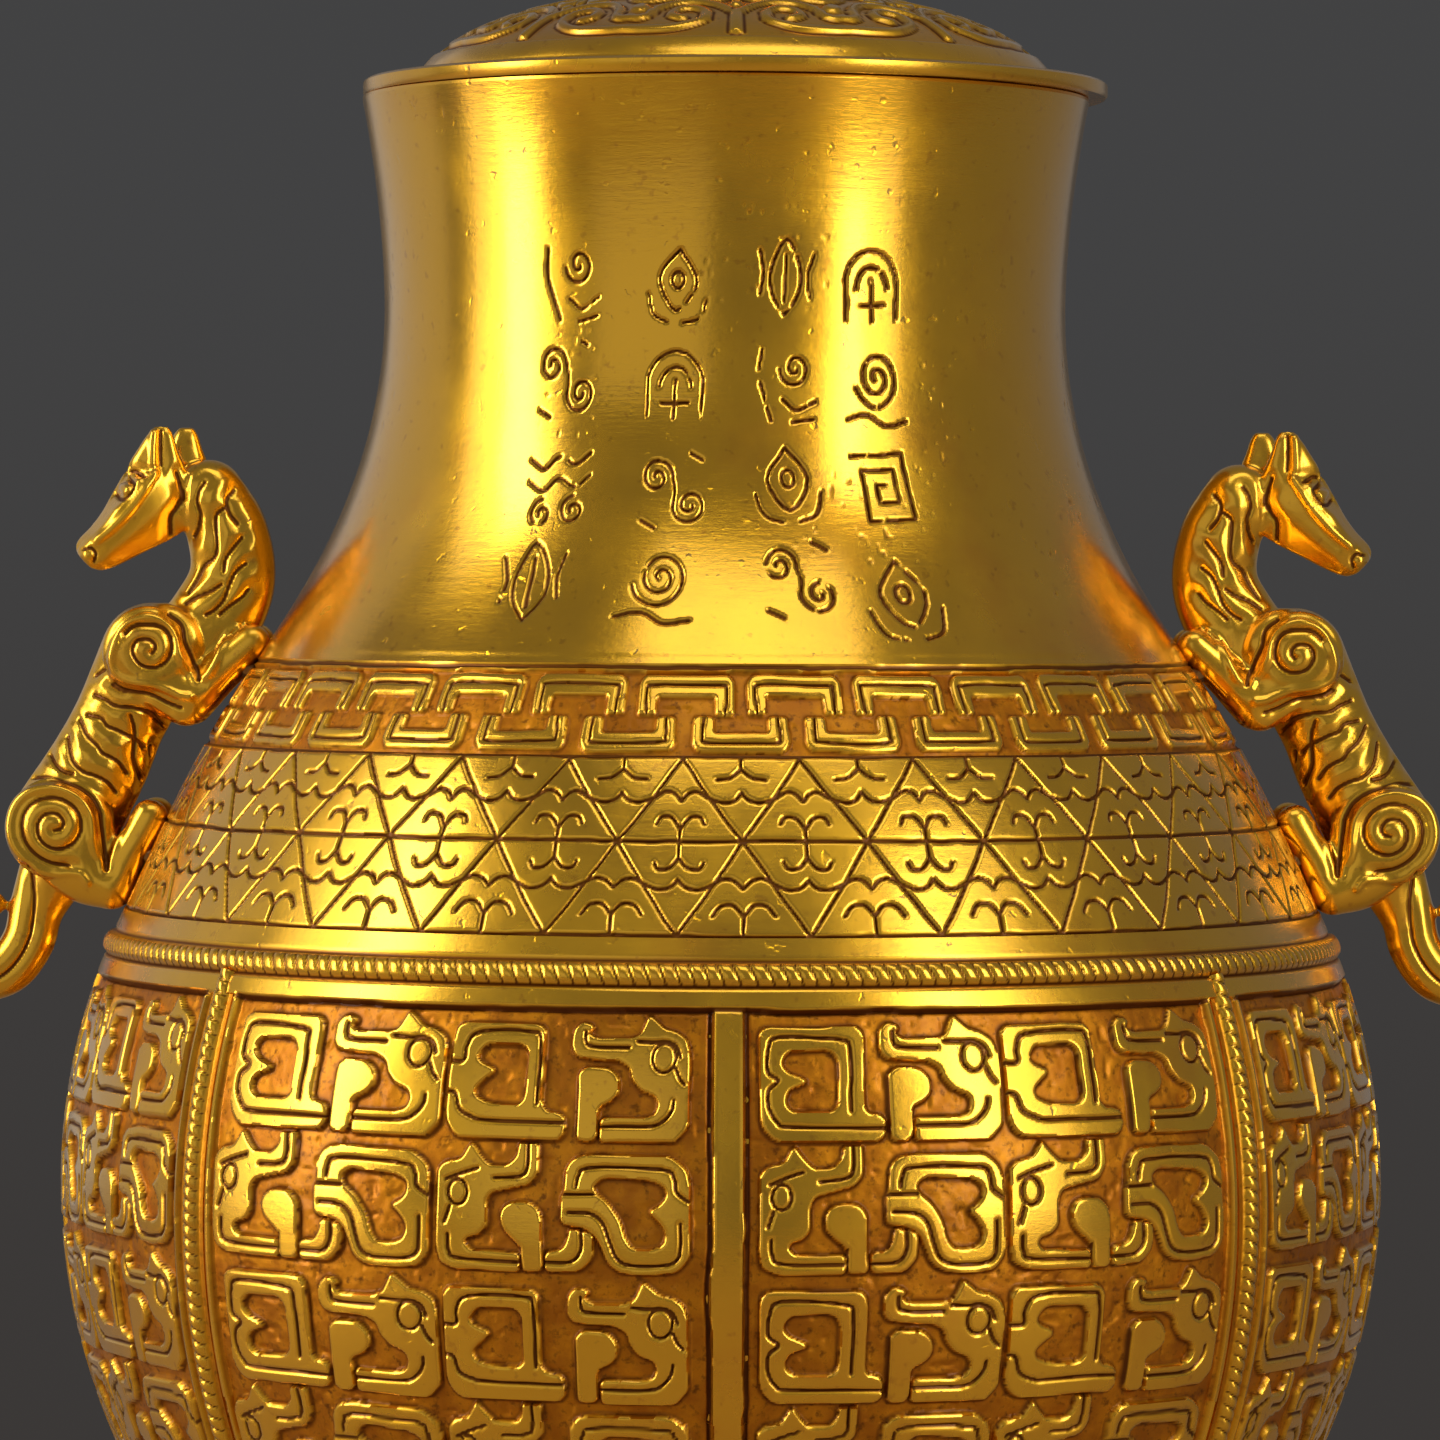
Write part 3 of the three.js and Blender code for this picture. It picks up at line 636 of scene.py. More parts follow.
def gilding(name, polish=0.2, brushed=1.0):
    """Fire gilding: bright rubbed faces, a reddish ground, and dark cut lines whose colour also paints shade
    beside the raised forms.
    """
    if name in bpy.data.materials:
        return bpy.data.materials[name]
    f, n = finish(), Nodes(name)
    stains = n.span(n.noise(26, 5, 0.6), 0.52, 0.74)
    specks = n.span(n.noise(420, 2, 0.6), 0.62, 0.74)
    ground, cuts = n.attribute("ground"), n.attribute("cuts")
    face = n.mix(n.maths("MULTIPLY", stains, 0.5), tuple(f.gilt), tuple(f.warm_gilt))
    face = n.mix(n.maths("MULTIPLY", specks, 0.35), face, tuple(f.ground))
    tarnish = tuple(Vector(f.ground) * 0.4 + Vector(f.warm_gilt) * 0.6)
    mottled = n.mix(n.span(n.noise(160, 4, 0.65), 0.35, 0.68), tuple(f.ground), tarnish)
    mottled = n.mix(n.span(n.noise(640, 3, 0.6), 0.5, 0.74, 0.0, 0.8), mottled, tuple(f.groove))
    colours = n.mix(ground, face, mottled)
    # The groove colour darkens the cut lines and also paints the shade at the foot of raised forms
    colours = n.mix(n.span(cuts, 0.1, 0.75, 0.0, 0.96), colours, tuple(f.groove))
    n.put(n.shader.inputs["Base Color"], colours)
    n.shader.inputs["Metallic"].default_value = 1.0
    n.put(n.shader.inputs["Coat Weight"], n.span(n.maths("MAXIMUM", ground, cuts), 0.1, 0.7, 0.75, 0.12))
    n.shader.inputs["Coat Roughness"].default_value = polish
    shine = n.span(n.noise(34, 5, 0.6), 0.3, 0.75, polish, polish + 0.12)
    shine = n.maths("ADD", shine, n.maths("MULTIPLY", ground, 0.24))
    n.put(n.shader.inputs["Roughness"], n.maths("ADD", shine, n.maths("MULTIPLY", cuts, 0.3)))
    strokes = n.noise(95, 4, 0.7, n.stretched((1.0, 1.0, 7.0)))
    lying = n.bump(strokes, 0.00012, 0.25 * brushed)
    lying = n.bump(n.noise(700, 3, 0.6), 0.00006, 0.35, lying)
    pits = n.span(n.noise(330, 2, 0.5), 0.66, 0.78, 1.0, 0.0)
    n.put(n.shader.inputs["Normal"], n.bump(pits, 0.0001, 0.6, lying))
    return n.material


def dress_body(obj, material=None, *nodes):
    dress(obj, "vessel", "gilt_body", material or gilding("gilding_body"), *nodes)


def bare_bronze():
    """Dull bronze as it was cast, for what is inside or underneath."""
    name = "bare_cast_bronze"
    if name in bpy.data.materials:
        return bpy.data.materials[name]
    f, n = finish(), Nodes(name)
    bronze = Vector(f.bronze)
    brown = n.mix(n.span(n.noise(45, 5, 0.6), 0.35, 0.7), tuple(bronze), tuple(bronze * 0.55))
    green = n.mix(n.span(n.noise(90, 4, 0.6), 0.66, 0.8), brown, (0.12, 0.15, 0.08))
    n.put(n.shader.inputs["Base Color"], green)
    n.shader.inputs["Metallic"].default_value = 1.0
    n.put(n.shader.inputs["Roughness"], n.span(n.noise(120, 4, 0.6), 0.3, 0.7, 0.42, 0.62))
    coarse = n.bump(n.noise(240, 4, 0.6), 0.0004, 0.4)
    n.put(n.shader.inputs["Normal"], n.bump(n.noise(1100, 2, 0.5), 0.0001, 0.5, coarse))
    return n.material


# The dragon panels of the belly

UNIT_REACH = 130.0
PANEL_TOP = 171.4
PANEL_FOOT = 54.4
SKINS_MEET = 172.2
SKINS_FOOT = 50.5
STRAIGHT_ABOVE = 98.0
ROW_FOOT = 147.8
ROPE_AT = 111.8
STRIP_AT = 1.3
STRIP_HALF = 2.9
FRAME_LINE_AT = 3.5
FRAME_LIP_AT = 2.75
ROPE_RIDGE_AT = 4.9


def dragon_head(d, at):
    """The raised tongue and the head with its snout, brow and eye."""
    tongue = [
        (0, 0.1), (0, 12), (1.5, 13.5), (6.3, 13.4), (8.4, 11.4), (8.3, 8.8), (6.6, 7.3), (4.4, 6.5),
        (4.3, 0.1),
    ]
    head = [
        (2.2, 21.1), (0.2, 21.5), (-1.3, 20), (-1.4, 16.7), (-0.4, 15.2), (2, 14.9), (8, 14.6),
        (10.3, 13.4), (10.8, 11.4), (12.6, 9.4), (15.6, 8.3), (16.2, 6.8), (15.4, 5), (13, 4.4), (4.9, 4.4),
        (4.9, 0), (19.5, 0), (22, 2.7), (22.2, 15.7), (21.4, 18.4), (19.2, 19.8), (16.6, 20.4), (14.8, 22),
        (13.6, 22.8), (12.8, 21.1), (11.8, 19.2), (10, 18.7), (3.4, 18.6), (1.6, 19.6), (2.8, 20.4),
    ]
    d.raise_shape(moved(tongue, at), radius=1.6)
    d.raise_shape(moved(head, at), radius=0.8)
    for line in (
        [(1.2, 19.8), (1.3, 18.2), (2.6, 17.1), (10, 16.9)],
        [(5, 2.8), (14.5, 2.9), (17.3, 4), (18.8, 5.8), (19.2, 7.5)],
        [(11.4, 18.1), (14.8, 17.9), (17, 18.1), (19.2, 17.2), (20.2, 15.2)],
        [(19.3, 13.4), (20.2, 11.5), (21.2, 10.4)],
    ):
        d.cut(moved(line, at))
    d.cut(arc(at + 16.9, 15.2, 2.3, 2.6, 0, 360, 20), 0.8, closed=True)
    d.cut([(at, 0), (at, 12)], 0.7)


def closed_heart_dragon():
    """A dragon whose frame closes round a heart, its head turned back over its body."""
    d = Drawing(-0.6, -0.6, 47.2, 23.8)
    outline = [(0.2, 20.9), (19.6, 20.9), (19.6, 5.4), (23.2, 5.2), (23.2, 0.2), (2.5, 0.2), (0.2, 3)]
    heart = [
        (4.5, 15.2), (5.7, 16.5), (13.3, 16.7), (14.8, 15.0), (14.8, 5.5), (6.0, 5.5), (4.6, 7.2),
        (5.4, 9.4), (9.8, 10.9), (5.6, 12.4), (4.4, 13.8),
    ]
    d.raise_shape(outline, [heart], 2.2)
    d.cut(
        [
            (17, 5.6), (17, 16), (15.3, 18.5), (4, 19.1), (1.9, 17), (1.7, 12.8), (3.6, 11.1), (1.8, 9.4),
            (1.7, 6.4), (3.2, 3.7), (6, 2.8), (23.2, 2.6),
        ]
    )
    dragon_head(d, 24.0)
    return d


def open_heart_dragon():
    """The same dragon with its heart open to the left."""
    d = Drawing(-0.6, -0.6, 51.0, 23.8)
    outline = [(0.2, 20.9), (19.6, 20.9), (19.8, 5.4), (24.4, 5.2), (24.4, 0.2), (2.5, 0.2), (0.2, 3)]
    heart = [
        (6.0, 15.6), (7.3, 17.1), (15, 17.2), (16.4, 15.8), (16.4, 6.2), (8.8, 6.4), (6.2, 7.6), (5.8, 9),
        (7, 10.2), (10, 12.4), (6.6, 13.6), (5.6, 14.6),
    ]
    d.raise_shape(outline, [heart], 2.2)
    d.cut([(-0.4, 14), (2.8, 14), (3, 16.7), (5.5, 19.2), (16.5, 19.5), (18.6, 17.7), (18.8, 6.5)])
    d.cut([(-0.2, 8.4), (1.8, 8), (3, 5.2), (5.8, 3.8), (8.8, 3.4), (24.5, 3.4)])
    dragon_head(d, 26.6)
    return d


def low_headed_dragon():
    """The dragon of the rows between, with its head low on the left and an S-shaped frame."""
    d = Drawing(-0.6, -0.8, 47.2, 24.4)
    head = [
        (0.0, 18.3), (1.3, 19.8), (4.6, 20.5), (6.4, 23.6), (8.2, 21.2), (9.9, 19.6), (13.5, 19.6),
        (15.2, 21.2), (15.3, 23.7), (18.8, 23.7), (18.8, 18.1), (17.4, 16.2), (13, 15.1), (10.2, 14.5),
        (9.3, 12.7), (9.3, 8.3), (8, 6.6), (5.9, 6.1), (5.3, 5), (6.4, 3.7), (15.6, 3.5), (15.6, 0),
        (3.5, 0), (0.6, 1.3), (0.0, 4.3),
    ]
    tongue = [
        (15.9, 0.1), (15.9, 4.6), (14, 6.3), (12.4, 7.7), (11.8, 9.9), (12.6, 12), (14.4, 12.9),
        (17.8, 12.8), (19.6, 10.9), (19.8, 0.1),
    ]
    tail = [
        (20.3, 0), (26.5, 0.3), (28.9, 2.8), (29.2, 7.3), (24.8, 8.3), (24.6, 6.4), (23.5, 4.1),
        (20.3, 3.9),
    ]
    outline = [
        (23.7, 14.9), (23.8, 19.1), (25.3, 21.2), (28, 21.7), (42.5, 21.5), (45.3, 19.3), (45.9, 16.3),
        (45.9, 10.8), (46, 3.3), (44, 0.5), (40, 0), (37, 0), (34, 0.3), (31.6, 1.8), (30.7, 4.3),
        (29.3, 7.3), (27.2, 8.5), (23.2, 8.9), (23.2, 14.2),
    ]
    opening = [
        (29.3, 14.6), (28.8, 16.1), (30.5, 17.5), (39.5, 17.0), (41.7, 15.9), (42, 14.1), (40.8, 12.5),
        (38.6, 11.4), (40.6, 9.7), (41.9, 7.6), (41.4, 5.3), (39.2, 4.5), (36, 4.6), (34.7, 6.3),
        (33.8, 9.8), (31.7, 12.9),
    ]
    d.raise_shape(head, radius=0.8)
    d.raise_shape(tongue, radius=1.2)
    d.raise_shape(tail, radius=1.2)
    d.raise_shape(outline, [opening], 1.2)
    for line in (
        [(1.7, 16.7), (4.2, 17.7), (7.9, 18.9)],
        [(2.6, 11.7), (1.6, 8.7)],
        [(17, 23.6), (17, 19.1), (15.6, 17.6), (11, 17.2)],
        [(2.2, 6.5), (2.4, 3.6), (4.2, 2.1), (15.3, 1.8)],
        [(20.5, 1.9), (25, 2.1), (26.8, 4.3), (26.9, 7.9)],
        [(25.8, 15.8), (26.2, 17.8), (28.2, 19.3), (41, 19.1), (43.2, 17.5), (43.6, 15.1), (45.6, 13.5)],
        [
            (24.5, 11.2), (28.5, 11), (30.8, 9.3), (32, 5.8), (33.3, 2.8), (36, 1.7), (41.6, 1.8),
            (43.8, 2.9), (44.3, 5.3), (44.3, 9.5),
        ],
        [(23.5, 14.5), (28.9, 14.5)],
    ):
        d.cut(line)
    d.cut(arc(4, 14.4, 1.8, 2.4, 0, 360, 18), 0.8, closed=True)
    d.cut([(15.9, 0), (15.9, 4.6)], 0.7)
    return d


class Dragons:
    """The three drawings, and where the two units of each panel's rows stand round the belly."""

    def __init__(self):
        self.closed, self.open, self.low = closed_heart_dragon(), open_heart_dragon(), low_headed_dragon()
        self.panels = {
            "right": (((7.0, 53.3), (54.2, 104.0)), ((6.9, 53.0), (54.0, 103.4))),
            "left": (((-102.6, -53.1), (-52.0, -5.6)), ((-105.0, -54.3), (-52.9, -5.5))),
            "right_side": (((118.6, 158.4), (159.2, 199.8)), ((118.5, 158.2), (159.2, 199.6))),
            "left_side": (((-199.8, -160.0), (-159.2, -118.6)), ((-199.6, -160.0), (-159.2, -118.6))),
        }

    def read(self, u, v):
        """Raised face, cut lines and painted shade beside the raised forms, at places in the panels."""
        pitch = carving().row_pitch / MM
        row = np.clip(np.ceil((ROW_FOOT - 0.5 - v) / pitch).astype(int), 0, 4)
        rise = v - (ROW_FOOT - row * pitch)
        face, cuts, shade = np.zeros(u.shape), np.zeros(u.shape), np.zeros(u.shape)
        for upright, low in self.panels.values():
            for units, parity in ((upright, 0), (low, 1)):
                for which, (start, end) in enumerate(units):
                    here = (row % 2 == parity) & (u > start - 0.4) & (u < end + 0.4)
                    if not here.any():
                        continue
                    upright_units = ((self.closed, 46.2), (self.open, 49.0))
                    drawing, width = (self.low, 46.1) if parity else upright_units[which]
                    x = (u[here] - start) * width / (end - start)
                    face[here] = np.maximum(face[here], drawing.read(drawing.face, x, rise[here]))
                    cuts[here] = np.maximum(cuts[here], drawing.read(drawing.cuts, x, rise[here]))
                    shade[here] = np.maximum(shade[here], drawing.read(drawing.shade, x, rise[here]))
        return face, cuts, shade


def half_turn(theta):
    """Every angle taken to the front half, because the back is cast like the front."""
    return (theta + math.pi / 2) % math.pi - math.pi / 2


def wall_distance_below(z):
    """Below the belly's upper part the rows keep their spacing along the curved wall."""
    heights, distance = along_wall(PANEL_FOOT - 6, STRAIGHT_ABOVE)
    return np.where(z >= STRAIGHT_ABOVE, z, STRAIGHT_ABOVE - (distance[-1] - np.interp(z, heights, distance)))


def panel_relief(dragons):
    c = carving()
    deep, cut_deep = c.ground_depth / MM, c.groove_depth / MM

    def relief(theta, z):
        u = half_turn(theta) * UNIT_REACH
        wavy_u = u + swayed(theta, z, (0.5, 12, 11), (0.22, 4, 12))
        wavy_z = z + swayed(theta, z, (0.5, 13, 13), (0.2, 4, 14))
        face, cuts, shade = dragons.read(wavy_u, wall_distance_below(wavy_z))
        band = np.minimum(np.abs(wavy_u - STRIP_AT), np.abs(np.abs(wavy_u) - UNIT_REACH * math.pi / 2))
        beside_rope = np.abs(np.abs(u) - ROPE_AT)
        ridge = 1 - smooth(np.abs(beside_rope - ROPE_RIDGE_AT), 0.4, 0.9)
        strips = 1 - smooth(band, STRIP_HALF - 0.2, STRIP_HALF + 0.2)
        border = np.maximum(strips, smooth(wavy_z, PANEL_TOP - 0.1, PANEL_TOP + 0.35))
        below = 1 - smooth(z, PANEL_FOOT - 0.3, PANEL_FOOT + 0.3)
        border = np.maximum(np.maximum(border, ridge), below)
        framed = (z > PANEL_FOOT) & (wavy_z < PANEL_TOP + 0.4) & (band > 2.0)
        face = np.maximum(face, border)
        line = np.where(framed, 1 - smooth(np.abs(band - FRAME_LINE_AT), 0.2, 0.6), 0)
        top_line = (1 - smooth(np.abs(wavy_z - PANEL_TOP), 0.2, 0.6)) * (beside_rope > ROPE_RIDGE_AT - 0.3)
        line = np.maximum(line, top_line)
        lip = np.where(framed, 1 - smooth(np.abs(band - FRAME_LIP_AT), 0.15, 0.45), 0)
        lips = lips_beside(cuts) * face
        proud = -deep * (1 - face) - cut_deep * cuts * face - 0.35 * line + 0.1 * lip + 0.05 * lips
        proud = proud + hand_finish(theta, z) + cast_grain(theta, z) * (1 - face) * 0.8
        proud = proud + 0.025 * round_noise(theta, z, 5, 15) * face
        shadow = smooth(1 - face, 0.05, 0.75)
        # Painted shade at the foot of the raised forms; the third value gives it the cut lines' dark colour
        edge = painted_foot_shade(shadow, 0.7, shade, face, 0.55)
        return proud, shadow, np.maximum(np.maximum(cuts * face, line), edge)

    return relief


def plain_relief(theta, z):
    flat = np.zeros(theta.shape)
    return hand_finish(theta, z), flat, flat


# The bands of the shoulder

BAND_REACH = 110.0
REPEATS = 30
FIRST_COLUMN = -7.8
BANDS_MEET = 217.45
TRIANGLES_FOOT = 184.3
HOOP_HALF = 1.9
UPRIGHT_HALF = 1.8
UPRIGHT_BEAD = 2.42
UPRIGHT_REACH = 3.3
UPRIGHTS_TOP = 175.8


def repeat_width():
    return 2 * math.pi * BAND_REACH / REPEATS


def triangle_drawing():
    """One repeat of the band of triangles, with scalloped lines, anchors and forked sprouts."""
    w = repeat_width()
    half = w / 2
    d = Drawing(-half - 0.2, 184.0, half + 0.2, 217.9, raised=1.0)
    for shift in (-w, 0, w):
        crossing = shift + half
        d.cut([(shift - half, 217.3), (shift + half, 217.3)], 1.25)
        for height in (201.8, 184.7):
            d.cut([(shift - half, height), (shift + half, height)], 0.9)
        d.cut([(shift, 198.6), (shift, 204.2)], 0.8)
        d.cut([(crossing, 217), (crossing, 214.9)], 0.8)
        d.cut([(crossing, 184.9), (crossing, 188.7)], 0.8)
        for side in (-1, 1):
            for at, line in (
                (shift, [(0, 204), (1.6, 206.1), (3.7, 206.2), (4.5, 204.9)]),
                (shift, [(0, 198.8), (1.6, 197), (3.6, 196.8), (4.4, 198)]),
                (crossing, [(0, 215), (2.2, 213.4), (4.8, 213.1)]),
                (crossing, [(0, 188.4), (1.8, 190.4), (4, 190.2), (5.4, 188.4)]),
            ):
                d.cut(moved(line, at, side=side), 0.85)
            d.cut(
                [(shift, 216.8), (shift + side * half, 201.8), (shift + side * w, 184.7)], 0.8,
                curved=False,
            )
        for height, reach, up_at, down_at in ((210.0, 5.0, shift, crossing), (194.2, 5.6, crossing, shift)):
            for side in (-1, 1):
                lobe = [(0, -0.9), (reach * 0.25, 0.5), (reach * 0.6, 0.9), (reach, -0.2)]
                sag = [(0, 0.7), (1.4, -0.7), (3.6, -1.1), (half - reach, -0.2)]
                d.cut(moved(lobe, up_at, height, side), 0.85)
                d.cut(moved(sag, down_at, height, side), 0.85)
    return d


def hooked_drawing():
    """One repeat of the band of hooked strips, which open downwards above and upwards below."""
    w = repeat_width()
    half = w / 2
    d = Drawing(-half - 0.2, 217.2, half + 0.2, 234.4)
    for shift in (-w, 0, w):
        upper = [(-10, 225), (-10.2, 230.6), (-9, 232.2), (9, 232.2), (10.2, 230.6), (10, 225)]
        upper += [(6.3, 225), (6.2, 228.4), (-6.2, 228.4), (-6.3, 225)]
        upper_line = [(-8.2, 225.2), (-8.4, 229.4), (-7, 230.4), (7, 230.4), (8.4, 229.4), (8.2, 225.2)]
        lower = [(-9.6, 224.6), (-9.8, 219.6), (-8.6, 218.2), (8.6, 218.2), (9.8, 219.6), (9.6, 224.6)]
        lower += [(5.7, 224.6), (5.6, 221.6), (-5.6, 221.6), (-5.7, 224.6)]
        lower_line = [(-7.7, 224.4), (-7.8, 220.8), (-6.4, 219.8), (6.4, 219.8), (7.8, 220.8), (7.7, 224.4)]
        for at, strip, line in ((shift, upper, upper_line), (shift + half, lower, lower_line)):
            d.raise_shape(moved(strip, at), radius=0.7)
            d.cut(moved(line, at), 0.8)
    d.raise_shape([(-40, 232.9), (40, 232.9), (40, 240), (-40, 240)], radius=0.1)
    d.cut([(-20, 233.6), (20, 233.6)], 1.1)
    d.cut([(-20, 217.6), (20, 217.6)], 1.0)
    return d


def band_relief(drawing, deep, grain):
    cut_deep = carving().groove_depth / MM
    w = repeat_width()

    def relief(theta, z):
        u = theta * BAND_REACH + swayed(theta, z, (0.34, 9, 21), (0.2, 3.3, 22))
        height = z + swayed(theta, z, (0.34, 10, 23), (0.18, 3.3, 24))
        x = (u - FIRST_COLUMN + w / 2) % w - w / 2
        face = drawing.read(drawing.face, x, height)
        cuts = drawing.read(drawing.cuts, x, height)
        lips = lips_beside(cuts) * face
        proud = -deep * (1 - face) - cut_deep * cuts * face + 0.09 * lips + hand_finish(theta, z)
        proud = proud + cast_grain(theta, z) * (1 - face) * 0.6 + grain * round_noise(theta, z, 4, 25)
        shadow = smooth(1 - face, 0.05, 0.75)
        # Painted shade at the foot of the raised strips; the third value gives it the cut lines' dark colour
        edge = painted_foot_shade(shadow, 0.5, drawing.read(drawing.shade, x, height), face, 0.4)
        return proud, shadow, np.maximum(cuts * face, edge)

    return relief


def hoop_relief(theta, z):
    """The rope round the shoulder, between two cut lines and two plain strips."""
    c = carving()
    rise = z - c.rope_height / MM
    phase = theta / (2 * math.pi) * c.hoop_beads + 0.16 * rise + 0.3 * round_noise(theta, z * 0, 9, 31)
    across = np.abs(phase % 1 - 0.5) * 2
    round_part = np.sqrt(np.clip(1 - (rise / HOOP_HALF) ** 2, 0, 1))
    lines = 1 - smooth(np.abs(np.abs(rise) - HOOP_HALF - 0.4), 0.15, 0.55)
    proud = 1.2 * round_part * (1 - 0.42 * smooth(across, 0.5, 1.0)) - 0.4 * lines + hand_finish(theta, z)
    between = smooth(across, 0.66, 0.98) * (round_part > 0)
    return proud, 0.35 * lines, np.maximum(lines * 0.8, between * 0.85)


def upright_rope_relief(centre, bottom):
    """A rope down the belly, between its two grooves."""

    def relief(theta, z):
        across = (theta - centre) * wall_radius(z)
        phase = wall_distance_below(z) / UPRIGHT_BEAD + 0.2 * across
        part = np.abs(phase % 1 - 0.5) * 2
        end = smooth(z, bottom, bottom + 1.2)
        round_part = np.sqrt(np.clip(1 - (across / UPRIGHT_HALF) ** 2, 0, 1)) * end
        proud = -0.55 + 1.65 * round_part * (1 - 0.34 * smooth(part, 0.5, 1.0)) + hand_finish(theta, z)
        between = smooth(part, 0.66, 0.98) * (round_part > 0)
        return proud, 0.8 * (1 - smooth(round_part, 0.1, 0.5)), between * 0.8

    return relief


# The neck, with four columns of cut scrolls


def motif_lines(kind):
    """Small scroll motifs, each about 13 wide and 13 high, centred."""
    if kind == 0:
        return [spiral(0, 1.5, 4.6, 2.1, 200), [(-6, -5), (-2, -4), (2, -5.4), (6, -4.4)]]
    if kind == 1:
        curl = spiral(-3.1, 2.2, 3, 1.5, 0, 0.15, 26)
        return [
            curl, [(-x, -y) for x, y in curl],
            [(-0.2, 2.2), (0.4, 0), (0.2, -2.2)], [(-5.5, -4.6), (-3, -5.8)],
            [(3, 5.8), (5.5, 4.6)],
        ]
    if kind == 2:
        fret = [
            (-5, 5), (5, 5), (5, -4.6), (-3.4, -4.6), (-3.4, 2.8), (2.8, 2.8), (2.8, -2), (-1, -2),
            (-1, 0.6),
        ]
        return [fret + [(0.8, 0.6)]]
    if kind == 3:
        leaf = [(0, -6), (-2.6, -2.6), (-2.8, 1.4), (0, 5.8), (2.8, 1.4), (2.6, -2.6), (0, -6)]
        return [
            leaf, [(0, -4), (0, 3.4)], [(-5.6, 3.8), (-4.4, 0.4), (-5, -3)],
            [(5.6, 3.8), (4.4, 0.4), (5, -3)],
        ]
    if kind == 4:
        return [
            [(-6, 4.6), (-3, 3), (0, 4.6), (3, 3), (6, 4.6)],
            [(-6, 1.2), (-3, -0.4), (0, 1.2), (3, -0.4), (6, 1.2)],
            spiral(-3, -4, 2.3, 1.3, 90, 0.2, 20), spiral(3, -4, 2.3, 1.3, 90, 0.2, 20),
        ]
    if kind == 5:
        diamond = [(0, 5.4), (3.8, 0.6), (0, -4.2), (-3.8, 0.6), (0, 5.4)]
        return [
            diamond, arc(0, 0.6, 1.2, 1.3, 0, 360, 12), [(-6, -1.6), (-4.6, -5), (-1.6, -6)],
            [(6, -1.6), (4.6, -5), (1.6, -6)],
        ]
    if kind == 6:
        return [
            arc(0, -1, 5.6, 5.6, 15, 165, 14), arc(0, -1, 3.2, 3.2, 0, 180, 12), [(-5.4, 0.4), (-5.2, -5.6)],
            [(5.4, 0.4), (5.2, -5.6)], [(0, 0.4), (0, -5.8)], [(-2.8, -3.4), (2.8, -3.4)],
        ]
    return [
        [(-4.8, 5.6), (-5.4, 1), (-3.6, -5.6)], spiral(1.6, 2.4, 3, 1.4, 180, 0.15, 22),
        [(-1.2, -2.4), (1.4, -4.2), (5.2, -2.8)], [(0.4, -6), (4.6, -5.6)],
    ]


NECK_REACH = 75.0
NECK_FOOT = 234.2
MOTIFS_ANGLE = 0.62
MOTIF_STRETCH = (1.12, 1.3)

# Columns of motifs: place round the neck, height of the first, pitch, size, kinds from the top
COLUMNS = (
    (-33.6, 307.1, 19.4, 0.96, (7, 1, 4, 3)),
    (-10.6, 306.5, 19.6, 0.94, (5, 6, 1, 0)),
    (13.0, 306.9, 19.2, 0.94, (3, 7, 5, 1)),
    (31.8, 306.3, 19.8, 1.0, (6, 0, 2, 5)),
)


def neck_drawing():
    d = Drawing(-48, 234.5, 48, 316, step=0.17, raised=1.0)
    sway = np.random.default_rng(41)
    for centre, top, pitch, scale, kinds in COLUMNS:
        for place, kind in enumerate(kinds):
            middle = top - place * pitch
            turn = math.radians(sway.uniform(-7, 7))
            dx, dy = sway.uniform(-1, 1), sway.uniform(-0.8, 0.8)
            cos, sin = scale * math.cos(turn), scale * math.sin(turn)
            for line in motif_lines(kind):
                line = [(x * MOTIF_STRETCH[0], y * MOTIF_STRETCH[1]) for x, y in line]
                points = [(centre + dx + x * cos - y * sin, middle + dy + x * sin + y * cos) for x, y in line]
                d.cut(points, 0.85 * sway.uniform(0.85, 1.15), curved=kind != 2)
    return d


def neck_relief(drawing):
    def relief(theta, z):
        u = theta * NECK_REACH + swayed(theta, z, (0.3, 6, 42), (0.25, 2.4, 43))
        height = z + 0.3 * round_noise(theta, z, 6, 44)
        inside = (np.abs(theta) < MOTIFS_ANGLE) & (z > NECK_FOOT + 0.4) & (z < 315.5)
        cuts = np.where(inside, drawing.read(drawing.cuts, u, height), 0)
        cuts = cuts * smooth(round_noise(theta, z, 2.6, 45), -0.44, -0.3)
        patches = smooth(round_noise(theta, z, 26, 47), 0.12, 0.32)
        pits = smooth(round_noise(theta, z, 1.5, 46), 0.37, 0.47) * patches
        proud = hand_finish(theta, z) - 0.5 * cuts + 0.1 * lips_beside(cuts) - 0.14 * pits
        edge = 1 - smooth(z, NECK_FOOT + 1, NECK_FOOT + 2)
        return proud - 0.1 * edge, 0.25 * pits, np.maximum(cuts, 0.5 * pits)

    return relief


# The beasts: runs of (out from the wall, rise above the heels, across, half height, half width)

HEEL_HEIGHT = 187.5
ANCHOR_RISE = 50.0
TORSO = ((21.6, 47, 0, 10.4, 9), (19.8, 34.5, 0, 9.4, 7.8), (19, 25, 0, 10, 8.2), (20, 13.5, 0, 10.8, 9))
NECK = (
    (13.4, 49, 0, 9.8, 7.6), (8.0, 61, 0, 8.8, 6.8), (8.6, 71, -0.3, 8.2, 6.2),
    (12.4, 78.6, -0.8, 7.4, 5.8),
)
TAIL = (
    (17.6, 5.5, 0, 7.4, 5.2), (17.6, -3.5, 0, 5.6, 4.2), (16.4, -10.5, 0, 5.3, 4), (18.4, -16, 0, 5.2, 4),
    (23.8, -17.4, 0, 4.9, 3.8), (28.5, -13, 0, 4.2, 3.4), (29.6, -6.5, 0, 3.2, 2.8),
    (26.4, -3, 0, 2.3, 2.2),
)

